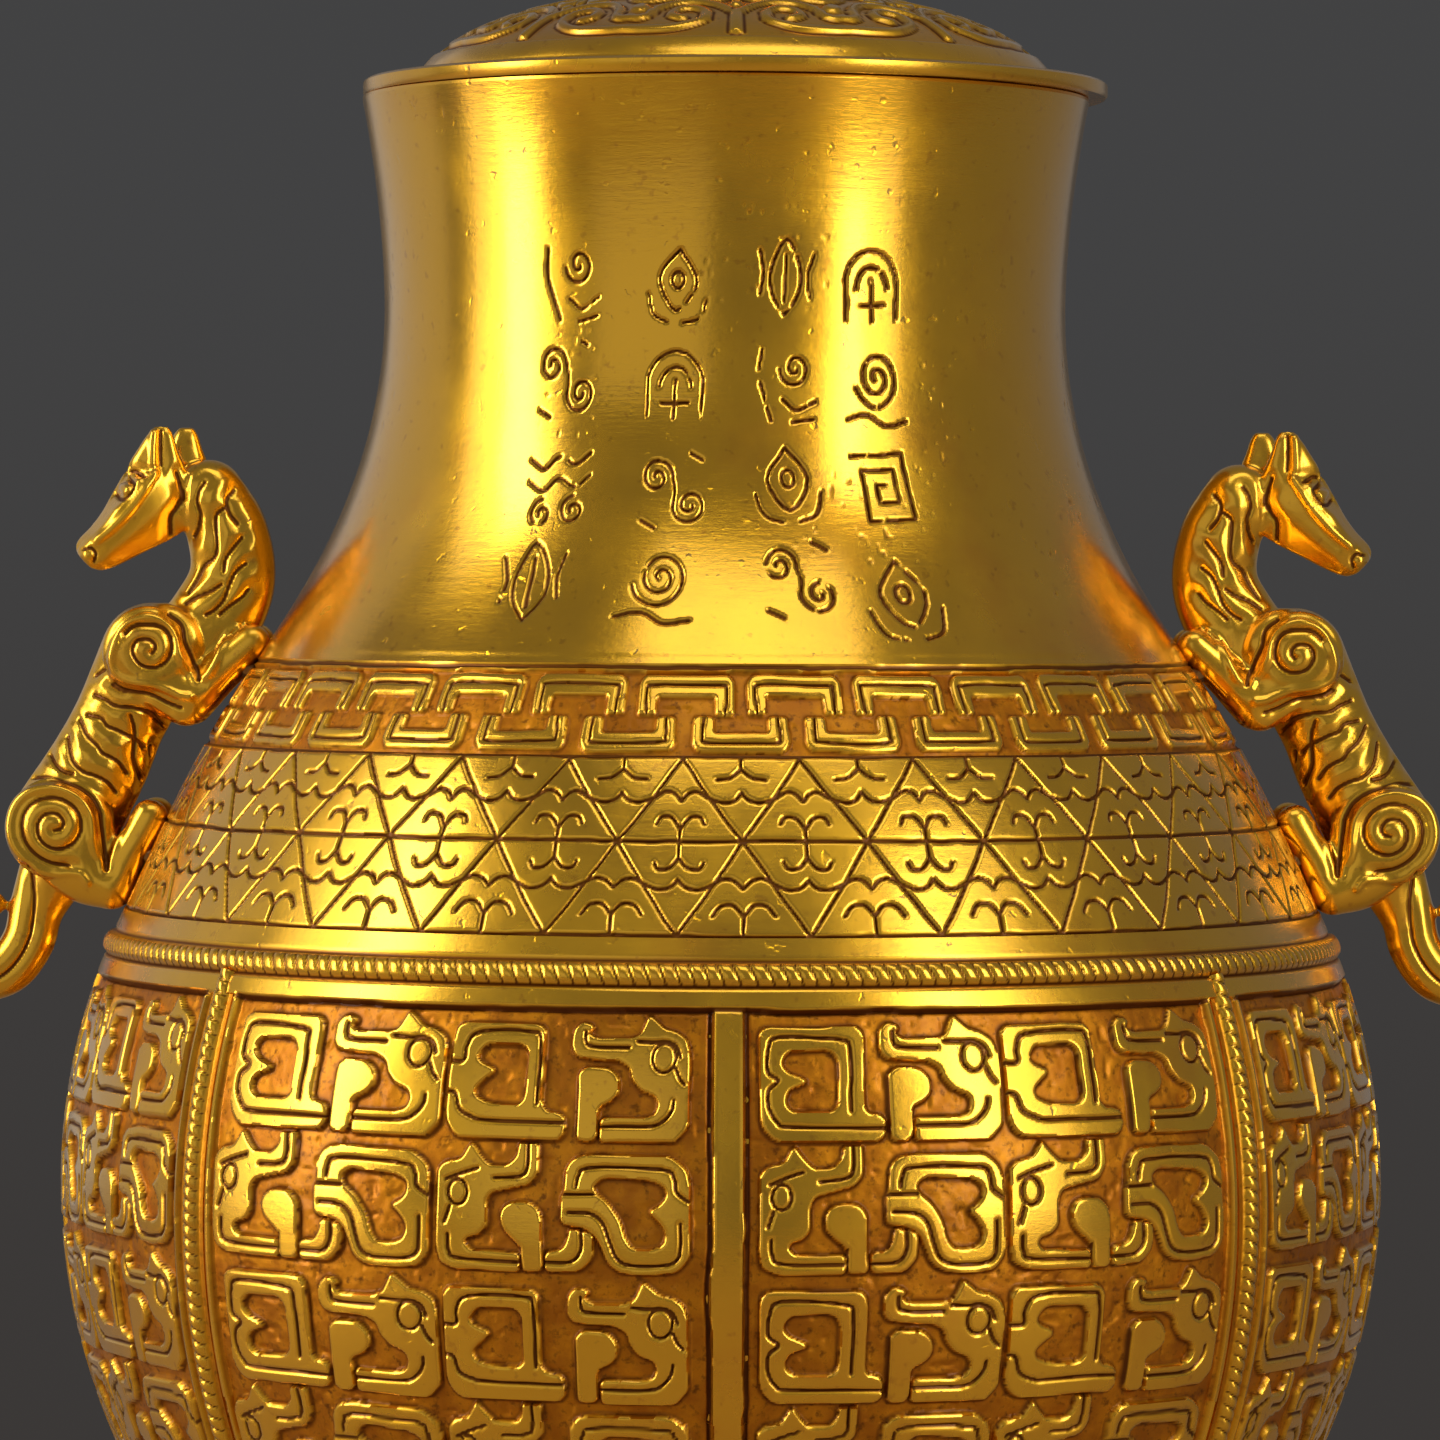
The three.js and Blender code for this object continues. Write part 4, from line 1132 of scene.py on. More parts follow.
# The head's sections from the poll to the nose: (out from the axis, height, across, half depth,
# half width of the flat face, half width of the jaw)
HEAD = (
    (107.6, 269.4, -0.4, 5.0, 3.2, 4.4), (110.4, 267.3, -0.8, 7.6, 4.2, 5.2),
    (113.2, 264.6, -1.4, 8.3, 4.5, 5.0), (116.4, 261.4, -2.2, 7.2, 4.3, 4.3),
    (119.6, 258.4, -3.2, 5.8, 3.8, 3.6), (122.4, 256.1, -3.8, 4.9, 3.5, 3.3),
    (124.8, 254.5, -4.5, 4.3, 3.2, 3.1), (126.4, 253.5, -4.9, 3.5, 2.7, 2.6),
    (127.3, 253.0, -5.1, 2.1, 1.6, 1.6),
)
HEAD_ROLL = 24.0


def ear_sections(side):
    """An ear from its broad root to its tip: places, then half sizes along the flank and across it."""
    lean = -side * 2.2
    return (
        (110.6 + lean, 268.6, side * 3.2 - 0.8, 6.4, 2.7),
        (110.9 + lean, 272.4, side * 3.6 - 0.8, 5.6, 2.4),
        (110.6 + lean, 275.6, side * 3.9 - 0.8, 4.0, 2.0),
        (110.1 + lean, 278.4, side * 4.1 - 0.8, 2.6, 1.5),
        (109.9 + lean, 279.9, side * 4.1 - 0.8, 1.5, 0.9),
    )


def foreleg_runs(side):
    a = 6.4 * side
    upper = ((20.5, 48.4, a, 9, 4.4), (14.5, 41.6, a, 6.6, 4.1), (8.2, 37.8, a * 1.1, 4.8, 3.6))
    lower = ((8.2, 37.5, a * 1.1, 4.8, 3.6), (5.4, 44, a * 1.1, 3.9, 3.3), (2.9, 49.6, a * 1.1, 3.6, 3.3))
    return upper, lower


def hindleg_runs(side):
    a = 7 * side
    upper = ((19.4, 12.6, a, 10.4, 4.6), (11.5, 4.6, a, 7, 4.2), (4.4, 0.8, a * 1.1, 4.6, 3.8))
    lower = ((4.2, 0.8, a * 1.1, 4.6, 3.8), (3.6, 8, a * 1.1, 3.6, 3.3), (2.9, 14.6, a * 1.1, 3.7, 3.3))
    return upper, lower


def run_balls(run):
    """A smooth close row of balls along a run: centres and half sizes."""
    rows = np.array(run, float)
    z = HEEL_HEIGHT + rows[:, 1]
    out = wall_radius(np.minimum(z, HEEL_HEIGHT + ANCHOR_RISE)) + rows[:, 0]
    return rounded_line(np.stack([out, rows[:, 2], z, rows[:, 3], rows[:, 4]], -1), 9)


def head_rings():
    """Six-cornered sections with a flat face, rolled so that the face looks a little to the front."""
    roll = math.radians(HEAD_ROLL)
    rings = []
    for out, z, across, deep, face, jaw in rounded_line(HEAD, 4):
        corners = [(-face, deep), (face, deep), (face + 1.4, deep * 0.1), (jaw, -deep * 0.8)]
        corners += [(-jaw, -deep * 0.8), (-face - 1.4, deep * 0.1)]
        ring = []
        for u, v in soften(corners, 1.3):
            rise, side = v * math.cos(roll) + u * math.sin(roll), u * math.cos(roll) - v * math.sin(roll)
            ring.append((out + rise * 0.69, across + side, z + rise * 0.72))
        rings.append(ring)
    return rings


def ear_rings(side):
    angles = np.linspace(0, 2 * math.pi, 24, endpoint=False)
    return [
        [(out + wide * math.cos(t), across + thin * math.sin(t), z) for t in angles]
        for out, z, across, wide, thin in rounded_line(ear_sections(side), 5)
    ]


def ring_faces(rings, first):
    """Faces of a closed tube through rings of equal count, whose first point has this index."""
    count = len(rings[0])
    last = first + (len(rings) - 1) * count
    faces = [tuple(range(first, first + count)), tuple(range(last, last + count))]
    for low in range(first, last, count):
        for here in range(count):
            there = (here + 1) % count
            faces.append((low + here, low + there, low + count + there, low + count + here))
    return faces


# The plates of the shoulder and the hip: (out from the axis, across, height, half height, half width)
PLATES = ((114.4, 8.0, 235.2, 9.2, 3.7), (132.6, 8.4, 199.9, 10.2, 3.9))
EYE = (119.3, 267.7)
EYE_RADIUS = 1.35


def beast_solid(name):
    """All the runs of balls, the head and the ears made one skin."""
    runs = [TORSO, NECK, TAIL]
    for side in (-1, 1):
        runs += [*foreleg_runs(side), *hindleg_runs(side)]
    balls = [ball for run in runs for ball in run_balls(run)]
    balls += [np.array(plate) * (1, side, 1, 1, 1) for side in (-1, 1) for plate in PLATES]
    deselect_all()
    bpy.ops.mesh.primitive_uv_sphere_add(segments=28, ring_count=18, radius=1)
    beast = bpy.context.object
    unit = places(beast) * MM
    polygons = [tuple(p.vertices) for p in beast.data.polygons]
    points = np.concatenate([unit * (b[3], b[4], b[3]) + b[:3] for b in balls])
    faces = [tuple(i + k * len(unit) for i in p) for k in range(len(balls)) for p in polygons]
    for rings in (head_rings(), ear_rings(-1), ear_rings(1)):
        faces += ring_faces(rings, len(points))
        points = np.concatenate([points, np.array(rings).reshape(-1, 3)])
    beast.data.clear_geometry()
    beast.data.from_pydata((points * MM).tolist(), [], faces)
    beast.name = beast.data.name = name
    only(beast)
    skin = beast.modifiers.new("One Skin", "REMESH")
    skin.mode = "VOXEL"
    skin.voxel_size = carving().beast_step
    bpy.ops.object.modifier_apply(modifier=skin.name)
    ease = beast.modifiers.new("Ease", "SMOOTH")
    ease.factor = 0.5
    ease.iterations = 7
    bpy.ops.object.modifier_apply(modifier=ease.name)
    return beast


# The beast's lines on its flank: points outwards and up, in millimetres

RAISED_LINES = (
    (
        (104.8, 229.4), (106.2, 231.6), (108.0, 234.7), (108.8, 237.6), (110.4, 240.2), (112.6, 241.7),
        (115.4, 241.9), (118.8, 240.0), (120.9, 236.4), (121.5, 232.8), (120.5, 230.4), (118.2, 229.2),
        (115.6, 228.7), (112.6, 228.3), (110.2, 227.5), (107.8, 226.4), (105.8, 226.2),
    ),
    ((104.2, 229.4), (102.2, 230.8), (100.6, 233.5), (99.4, 236.7), (98.4, 238.8), (96.8, 239.9)),
    (
        (122.8, 191.8), (123.4, 193.6), (124.6, 196.0), (125.0, 199.9), (125.8, 203.4), (128.2, 206.2),
        (132.4, 208.0), (137.2, 207.4), (140.4, 204.8), (141.6, 200.8), (141.0, 197.0), (138.6, 193.8),
        (135.8, 191.7), (133.0, 190.9), (129.6, 191.2), (127.4, 190.8), (126.0, 189.2),
    ),
    ((122.0, 191.8), (121.0, 195.1), (120.4, 198.3), (119.6, 201.2), (118.4, 202.6)),
    ((113.0, 270.9), (113.8, 269.5), (115.8, 266.3), (118.6, 262.5), (121.8, 259.3), (124.6, 257.1)),
    ((113.5, 278.8), (113.6, 275.5), (113.6, 272.4)),
)
CUT_LINES = (
    (
        (119.0, 238.7), (117.4, 240.2), (115.4, 240.7), (111.9, 240.4), (109.9, 238.7), (109.3, 235.9),
        (110.2, 233.3), (112.6, 231.9), (115.4, 232.3), (117.0, 234.1), (117.2, 235.9), (116.2, 237.4),
        (114.2, 237.7), (112.8, 236.7), (112.7, 235.5), (113.4, 234.7),
    ),
    (
        (129.8, 192.5), (133.0, 192.8), (136.2, 194.4), (138.5, 197.1), (139.3, 200.7), (138.3, 203.8),
        (135.8, 205.8), (132.2, 206.2), (129.0, 204.7), (127.4, 202.3), (127.2, 199.5), (129.0, 196.7),
        (132.2, 195.7), (135.0, 197.1), (136.0, 199.5), (135.6, 201.5), (134.2, 202.9), (132.0, 202.9),
        (130.7, 201.3), (131.2, 199.9), (132.6, 199.5),
    ),
    ((121.8, 228.6), (119.6, 227.2), (116.6, 226.6), (113.4, 226.2), (110.2, 224.7), (107.6, 223.9)),
    (
        (142.2, 208.0), (139.6, 209.6), (136.0, 210.2), (132.0, 209.9), (128.0, 208.6), (125.0, 206.4),
        (123.4, 203.6),
    ),
    ((123.2, 203.0), (122.8, 199.0), (122.4, 195.2), (122.3, 191.9)),
    ((110.0, 242.9), (107.4, 240.6), (106.6, 237.0), (105.0, 233.2), (104.2, 229.6)),
    (
        (125.6, 226.6), (123.0, 225.5), (121.0, 224.3), (117.8, 223.9), (115.0, 223.1), (112.6, 221.5),
        (110.6, 219.1),
    ),
    (
        (127.0, 222.6), (124.0, 221.9), (122.6, 220.3), (120.6, 219.5), (118.2, 218.3), (116.6, 217.5),
        (115.0, 215.9),
    ),
    (
        (128.6, 221.6), (126.8, 218.5), (124.6, 216.5), (123.4, 214.9), (121.4, 213.9), (119.8, 212.7),
        (118.4, 210.7),
    ),
    (
        (131.0, 218.2), (130.2, 214.9), (129.2, 212.9), (127.2, 211.2), (124.6, 210.3), (122.2, 208.9),
        (120.6, 206.9),
    ),
    ((134.6, 214.6), (133.0, 212.4), (131.4, 211.4), (129.4, 210.9)),
    ((117.8, 222.3), (117.0, 219.9), (116.9, 217.4), (117.1, 214.0), (116.2, 210.9), (115.4, 208.3)),
    ((113.8, 216.0), (113.6, 213.6), (112.6, 211.2)),
    ((123.6, 231.6), (125.6, 230.4)),
    (
        (99.2, 263.9), (101.0, 262.3), (101.2, 259.5), (101.0, 256.3), (101.6, 253.9), (103.8, 252.3),
        (105.2, 249.9), (107.0, 247.1),
    ),
    ((95.8, 257.9), (97.8, 255.5), (99.2, 253.5), (99.6, 251.1)),
    ((95.0, 252.7), (97.0, 251.1), (98.4, 248.3), (99.4, 245.5), (101.2, 243.5), (103.0, 242.5)),
    ((94.4, 247.5), (95.8, 245.9), (98.6, 243.9), (100.2, 242.5)),
    ((100.0, 248.5), (102.6, 247.1), (105.0, 246.3), (107.4, 244.9)),
    ((103.4, 269.1), (104.6, 267.1), (105.0, 264.7), (104.4, 262.3), (105.0, 259.5), (106.0, 257.9)),
    ((97.4, 267.4), (98.8, 265.4), (98.2, 262.6), (96.6, 260.6)),
    (
        (108.8, 270.7), (108.2, 268.7), (107.8, 265.9), (108.8, 263.5), (109.8, 261.9), (110.0, 259.5),
        (109.8, 256.3),
    ),
    ((112.1, 279.4), (112.1, 276.0), (112.0, 272.2)),
    ((119.2, 270.8), (117.2, 270.9), (115.2, 270.2)),
    ((121.6, 266.6), (120.4, 265.6), (118.8, 265.9), (117.6, 267.2), (117.6, 268.8), (119.0, 269.6)),
    ((127.8, 255.6), (125.8, 255.7), (124.7, 254.4), (125.2, 252.6)),
    (
        (138.2, 192.0), (137.4, 186.3), (137.6, 180.7), (138.6, 176.7), (140.6, 173.1), (143.4, 170.3),
        (146.6, 168.9), (150.0, 169.6),
    ),
)


def carve_beast(beast):
    points, outward = places(beast), normals(beast)
    a, z = points[:, 0], points[:, 2]
    flank = smooth(np.abs(outward[:, 1]), 0.12, 0.45)
    depth, cuts = np.zeros(len(a)), np.zeros(len(a))

    def near_line(line, reach):
        pts = rounded_line(line, 5)
        low, high = pts.min(0) - reach, pts.max(0) + reach
        near = np.flatnonzero((a > low[0]) & (a < high[0]) & (z > low[1]) & (z < high[1]))
        return near, line_distance(a[near], z[near], pts)

    for line in RAISED_LINES:
        near, away = near_line(line, 3)
        depth[near] = np.maximum(depth[near], 0.6 * (1 - smooth(away, 0.1, 1.25)) * flank[near])
    raised = depth.copy()
    for line in CUT_LINES:
        near, away = near_line(line, 4)
        swell = 0.5 * (1 - smooth(away, 0.2, 2.9))
        groove = 1 - smooth(away, 0.1, 0.55)
        sunk = raised[near] * smooth(away, 0.3, 0.9) - (swell + 0.5 * groove) * flank[near]
        depth[near] = np.minimum(depth[near], sunk)
        cuts[near] = np.maximum(cuts[near], 0.9 * (1 - smooth(away, 0.2, 0.6)) * flank[near])
    eye = np.hypot(a - EYE[0], z - EYE[1])
    depth += 0.75 * np.sqrt(np.clip(1 - (eye / EYE_RADIUS) ** 2, 0, 1)) * flank
    cuts *= smooth(eye, 0.9, 1.3)
    points = points + outward * depth[:, None]

    # The paws end a little way into the wall
    radius = np.hypot(points[:, 0], points[:, 1])
    points[:, :2] *= np.maximum((wall_radius(z) - 0.9) / radius, 1)[:, None]
    place_vertices(beast, points)
    set_attribute(beast, "cuts", cuts)
    set_attribute(beast, "ground", 0.7 * (1 - smooth(radius - wall_radius(z), 0.3, 2.2)))


# Operators, one for each piece or group of like pieces


class Piece:
    bl_options = {"REGISTER", "UNDO"}

    def execute(self, context):
        self.build()
        return {"FINISHED"}


class BOTTLE_OT_wall(Piece, bpy.types.Operator):
    """Build the cast wall that the carved skins lie on, with its mouth"""

    bl_idname = "bottle.wall"
    bl_label = "Wall"

    def build(self):
        s = shape()
        wall, mouth, foot = s.wall / MM, s.mouth_height / MM, s.foot_height / MM
        lip = mouth - LIP
        heights = np.concatenate([np.linspace(foot, 60, 10), np.linspace(68, lip - 0.2, 40)])
        face = float(wall_radius(lip))
        profile = self.rows(heights, -CORE_DEPTH)
        profile += [(face - CORE_DEPTH, lip), (face, lip), (face - 0.1, mouth - 0.3), (face - 0.6, mouth)]
        inner = float(wall_radius(mouth)) - wall
        profile += [(inner + 0.6, mouth), (inner, mouth - 0.5), *self.rows(heights, -wall)[::-1]]
        core = turned("wall_core", profile, 144)
        dress_body(core, None, "vessel_body")

    @staticmethod
    def rows(heights, proud):
        out, up = wall_normal(heights)
        level = np.clip(heights + up * proud, shape().foot_height / MM, None)
        return list(zip(wall_radius(heights) + out * proud, level))


class BOTTLE_OT_neck(Piece, bpy.types.Operator):
    """Build the polished neck with its columns of cut scrolls"""

    bl_idname = "bottle.neck"
    bl_label = "Neck"

    def build(self):
        c = carving()
        fine, coarse = c.fine_step / MM, c.coarse_step / MM
        relief = neck_relief(neck_drawing())
        front = math.radians(50)
        split, top = 285.0, shape().mouth_height / MM - LIP
        for name, low, high, bottom, upper, step in (
            ("neck_front_low", -front, front, NECK_FOOT, split, fine * 1.02),
            ("neck_front_high", -front, front, split, top, fine * 1.1),
            ("neck_back", front, 2 * math.pi - front, NECK_FOOT, top, coarse * 1.7),
        ):
            dress_body(
                wall_skin(name, low, high, bottom, upper, step, relief), gilding("gilding_neck", 0.17, 1.6),
            )


class BOTTLE_OT_bands(Piece, bpy.types.Operator):
    """Build the hooked band, the band of triangles and the rope round the shoulder"""

    bl_idname = "bottle.bands"
    bl_label = "Shoulder Bands"

    def build(self):
        c = carving()
        fine, coarse = c.fine_step / MM, c.coarse_step / MM
        hooked = band_relief(hooked_drawing(), 0.85, 0.03)
        triangles = band_relief(triangle_drawing(), 0.0, 0.05)
        quarter = math.pi / 2
        for name, low, high, relief in (
            ("hooked_band", BANDS_MEET, NECK_FOOT, hooked),
            ("triangle_band", TRIANGLES_FOOT, BANDS_MEET, triangles),
            ("shoulder_rope", SKINS_MEET, TRIANGLES_FOOT, hoop_relief),
        ):
            for side, start, step in (("front", -quarter, fine * 1.03), ("back", quarter, coarse)):
                dress_body(wall_skin(f"{name}_{side}", start, start + math.pi, low, high, step, relief))


class BOTTLE_OT_panels(Piece, bpy.types.Operator):
    """Build the eight belly panels with their rows of dragons"""

    bl_idname = "bottle.panels"
    bl_label = "Dragon Panels"

    def build(self):
        c = carving()
        fine, coarse = c.fine_step / MM, c.coarse_step / MM
        relief = panel_relief(Dragons())
        middle, rope, quarter = STRIP_AT / UNIT_REACH, ROPE_AT / UNIT_REACH, math.pi / 2
        split = 96.0
        spans = (
            ("front_right", middle, rope, fine, coarse * 0.85),
            ("front_left", -rope, middle, fine, coarse * 0.85),
            ("side_right", rope, quarter, fine * 1.25, coarse),
            ("side_left", -quarter, -rope, fine * 1.25, coarse),
            ("back_left", math.pi + middle, math.pi + rope, coarse, coarse * 1.2),
            ("back_right", math.pi - rope, math.pi + middle, coarse, coarse * 1.2),
            ("side_left_back", math.pi + rope, math.pi + quarter, coarse, coarse * 1.2),
            ("side_right_back", quarter, math.pi - rope, coarse, coarse * 1.2),
        )
        for name, low, high, upper_step, lower_step in spans:
            for part, bottom, head, step in (
                ("upper", split, SKINS_MEET, upper_step),
                ("lower", SKINS_FOOT, split, lower_step),
            ):
                dress_body(wall_skin(f"panel_{name}_{part}", low, high, bottom, head, step, relief))


class BOTTLE_OT_ropes(Piece, bpy.types.Operator):
    """Build the four upright ropes that part the belly's panels"""

    bl_idname = "bottle.ropes"
    bl_label = "Upright Ropes"

    def build(self):
        rope, reach = ROPE_AT / UNIT_REACH, UPRIGHT_REACH / UNIT_REACH
        step = carving().fine_step / MM
        for name, centre, share in (
            ("rope_right", rope, 1.0),
            ("rope_left", -rope, 1.0),
            ("rope_right_back", math.pi - rope, 1.4),
            ("rope_left_back", math.pi + rope, 1.4),
        ):
            relief = upright_rope_relief(centre, SKINS_FOOT + 1.5)
            span = (centre - reach, centre + reach, SKINS_FOOT + 1, UPRIGHTS_TOP)
            dress_body(wall_skin(name, *span, step * share, relief))


class BOTTLE_OT_lower_belly(Piece, bpy.types.Operator):
    """Build the plain skin between the panels and the foot"""

    bl_idname = "bottle.lower_belly"
    bl_label = "Lower Belly"

    def build(self):
        foot = shape().foot_height / MM
        for name, start in (("front", -math.pi / 2), ("back", math.pi / 2)):
            span = (start, start + math.pi, foot + 0.5, SKINS_FOOT)
            dress_body(wall_skin(f"lower_belly_{name}", *span, 1.3, plain_relief))


PLINTH = 7.0
FOOT_WALL = 4.5
FOOT_BORE = 60.0


class BOTTLE_OT_foot(Piece, bpy.types.Operator):
    """Build the flared foot ring with its step and plinth"""

    bl_idname = "bottle.foot"
    bl_label = "Foot"

    def build(self):
        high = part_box("foot_ring")[1]
        spread, top = high[0] / MM, high[2] / MM
        step = float(wall_radius(top)) + 2.2
        t = np.linspace(0, 1, 12)
        out = spread - (spread - step) * np.sin(t * math.pi / 2)
        outside = list(zip(out, PLINTH + (top - PLINTH) * t))
        inside = [(r - FOOT_WALL, min(z, top - 3)) for r, z in outside[:-1]]
        profile = [(spread - 0.3, 0.0), (spread, 0.3), (spread, PLINTH - 0.6), (spread - 0.3, PLINTH - 0.2)]
        profile += outside[1:-1] + [(step, top - 0.4), (step - 0.4, top)]
        profile += [(FOOT_BORE + 0.4, top), (FOOT_BORE, top - 0.4), (FOOT_BORE, top - 3)]
        profile += inside[::-1] + [(spread - FOOT_WALL, 0.3), (spread - FOOT_WALL + 0.3, 0)]
        foot = turned("foot", profile, 224)
        dress(foot, "vessel", "gilt_foot", gilding("gilding_foot", 0.22), "foot_ring")


class BOTTLE_OT_beasts(Piece, bpy.types.Operator):
    """Build the two climbing beasts, one the mirror image of the other"""

    bl_idname = "bottle.beasts"
    bl_label = "Beast Handles"

    def build(self):
        right = beast_solid("right_beast")
        carve_beast(right)
        shade_smooth(right)
        deselect_all()
        left = right.copy()
        left.data = right.data.copy()
        left.name = left.data.name = "left_beast"
        bpy.context.collection.objects.link(left)
        points = places(left)
        points[:, 0] *= -1
        place_vertices(left, points)
        turn_faces_round(left)
        for beast, node in ((right, "right_beast_handle"), (left, "left_beast_handle")):
            dress(beast, "vessel", "gilt_handle", gilding("gilding_beast", 0.2, 0.6), node)


DOME_RADIUS = 63.5
DOME_RISE = 18.6
FLANGE = 3.0
GRIP_SEAT = 18.0
SCROLL_REACH = 46.0
SCROLL_REPEATS = 8


def lid_scrolls(r, theta):
    """Raised double scrolls round the dome, from the grip's seat to a plain strip above the flange."""
    width = 2 * math.pi * SCROLL_REACH / SCROLL_REPEATS
    half = width / 2
    d = Drawing(-half - 0.2, 20, half + 0.2, 63, step=0.2)
    outer = [
        (-half, 57.6), (-14.6, 57.8), (-9.6, 57.4), (-5.6, 55), (-5.2, 51.4), (-7.6, 49.2), (-10.4, 50.2),
        (-10.8, 52.8), (-9, 54),
    ]
    middle = [
        (-half, 53.6), (-15.6, 53.4), (-14.2, 49), (-11, 45.8), (-6.4, 45.6), (-2.6, 48.2), (0, 52.6),
        (0, 58.4),
    ]
    inner = [(-half, 44), (-14, 42.4), (-10.6, 38.6), (-5.4, 38), (-2.2, 41.2), (-4, 43.6), (-6.8, 42.6)]
    low = [(-half, 36), (-13, 33.4), (-7, 32.4), (-2.6, 34.6), (0, 38.4), (0, 43)]
    foot = [(-half, 28), (-11, 27), (-5, 27.6), (-3.2, 30), (-5, 31.6)]
    for line, reach in ((outer, 0.95), (middle, 0.95), (inner, 1.0), (low, 1.0), (foot, 1.0)):
        for side in (-1, 1):
            away = line_distance(d.x, d.y, rounded_line([(x * side, y) for x, y in line], 5))
            d.face = np.maximum(d.face, 1 - smooth(away, reach * 0.55, reach * 1.25))
            beside = 1 - smooth(np.abs(away - reach * 1.35), 0.1, 0.45)
            d.cuts = np.maximum(d.cuts, 0.8 * beside * (1 - d.face))
    for x, y, wide in ((0, 25.4, 1.8), (-half, 48.6, 2.0), (half, 48.6, 2.0), (0, 46.6, 1.3)):
        d.face = np.maximum(d.face, 1 - smooth(np.hypot(d.x - x, d.y - y), wide * 0.7, wide * 1.1))
    x = (theta * SCROLL_REACH + half) % width - half
    face, cuts = d.read(d.face, x, r), d.read(d.cuts, x, r)
    border = np.maximum(smooth(r, 60.0, 60.5), 1 - smooth(r, 22.4, 23.0))
    return np.maximum(face, border), cuts * (1 - border)


class BOTTLE_OT_lid(Piece, bpy.types.Operator):
    """Build the domed lid with its worn scrolls, its collar and its ring grip"""

    bl_idname = "bottle.lid"
    bl_label = "Lid"

    def build(self):
        low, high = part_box("lid_cover")
        self.cover(low[2] / MM, (high[0] - low[0]) / MM / 2)
        self.collar()
        self.knob()

    @staticmethod
    def dome(r, base):
        """Height of the dome's top at a radius."""
        t = np.clip(r / DOME_RADIUS, 0, 1)
        return base + FLANGE + DOME_RISE * np.clip(1 - t**2.4, 0, 1) ** 0.62

    def cover(self, base, flange):
        seat_height = float(self.dome(GRIP_SEAT, base))
        profile = [
            (flange - 0.4, base), (flange, base + 0.5), (flange, base + 2.5), (flange - 0.6, base + FLANGE),
        ]
        profile += [(flange - 4.5, base + FLANGE + 0.02), (DOME_RADIUS + 1.1, base + FLANGE)]
        for radii in (np.linspace(DOME_RADIUS - 0.15, 58, 24), np.linspace(57.7, GRIP_SEAT, 96)):
            profile += [(r, float(self.dome(r, base))) for r in radii]
        profile += [(3.6, seat_height), (3.6, seat_height - 2.9)]
        profile += [(r, float(self.dome(r + 3, base)) - 3.1) for r in np.linspace(16, 59.5, 26)]
        profile += [(60.2, base)]
        cover = turned("lid_cover_skin", profile, 448, angle=50)
        points = places(cover)
        r, theta = np.hypot(points[:, 0], points[:, 1]), np.arctan2(points[:, 0], -points[:, 1])
        on_top = (r > GRIP_SEAT + 0.5) & (r < 62) & (points[:, 2] > self.dome(r, base) - 0.5)
        face, cuts = lid_scrolls(r, theta)
        sunk = np.where(on_top, (face - 1) * 0.8 - 0.15 * cuts, 0)
        place_vertices(cover, points + normals(cover) * sunk[:, None])
        set_attribute(cover, "ground", np.where(on_top, smooth(1 - face, 0.1, 0.8) * 0.3, 0))
        set_attribute(cover, "cuts", np.where(on_top, cuts, 0))
        shift_lid(cover)
        dress(cover, "lid", "gilt_lid", gilding("gilding_lid", 0.2), "lid_cover")

    def collar(self):
        low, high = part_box("lid_collar")
        outer = (high[0] - low[0]) / MM / 2
        bottom, top = low[2] / MM, high[2] / MM
        section = [
            (outer - 0.6, bottom), (outer, bottom + 1.2), (outer, top), (outer - 3, top),
            (outer - 3, bottom),
        ]
        collar = turned("lid_collar_ring", eased(section, 0.3), 160)
        shift_lid(collar)
        dress(collar, "lid", "bare_bronze", bare_bronze(), "lid_collar")

    def knob(self):
        low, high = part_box("lid_knob")
        bottom, height = low[2] / MM, (high[2] - low[2]) / MM
        outer = [(16.4, 0.0), (16.2, 0.9), (13.2, 2.6), (11.7, 5.2), (11.7, 8.2), (13.6, 11.2), (16.8, 13.4)]
        outer += [(19.0, 14.6), (19.5, 15.6)]
        cup = [
            (18.9, height - 0.3), (17.6, height), (16.2, height - 0.6), (14.6, height - 2.6),
            (11.2, height - 5.6),
        ]
        cup += [(8.7, height - 8.6), (7.9, height - 11.4)]
        line = [tuple(p) for p in rounded_line(outer, 4)] + [tuple(p) for p in rounded_line(cup, 3)]
        line += [(7.0, 4.2), (3.5, 4.2), (3.5, 0.0)]
        knob = turned("lid_grip", [(r, bottom + z) for r, z in line], 160, angle=35)
        shift_lid(knob)
        dress(knob, "lid", "gilt_lid", gilding("gilding_lid", 0.2), "lid_knob")


class BOTTLE_OT_bare_parts(Piece, bpy.types.Operator):
    """Give the pins, the rivet and the floor disc their bare bronze"""

    bl_idname = "bottle.bare_parts"
    bl_label = "Bare Bronze Parts"

    def build(self):
        for name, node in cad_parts.items():
            if "_pin_" in name or name in ("knob_rivet", "floor_disc"):
                node.data.materials.clear()
                node.data.materials.append(bare_bronze())


CAMERA_AT = (-0.00058, -1.36, 0.248)
CAMERA_PITCH = 1.1
CAMERA_ROLL = 0.27
LENS = 170
SENSOR = 36

# Softboxes: name, azimuth, distance, height, size, power
SOFTBOXES = (
    ("left_softbox", -75, 1.3, 0.62, (0.78, 1.25), 4.4),
    ("left_core", -70, 1.2, 0.6, (0.26, 1.0), 5.2),
    ("right_softbox", 46, 1.3, 0.62, (0.6, 1.2), 4.0),
    ("right_core", 42, 1.2, 0.6, (0.16, 0.95), 2.6),
    ("top_softbox", 10, 0.55, 1.35, (0.9, 0.5), 2.2),
    ("front_fill", -24, 2.3, 0.5, (1.6, 1.5), 2.2),
    ("left_rear_fill", -128, 1.4, 0.5, (1.3, 1.2), 1.1),
)


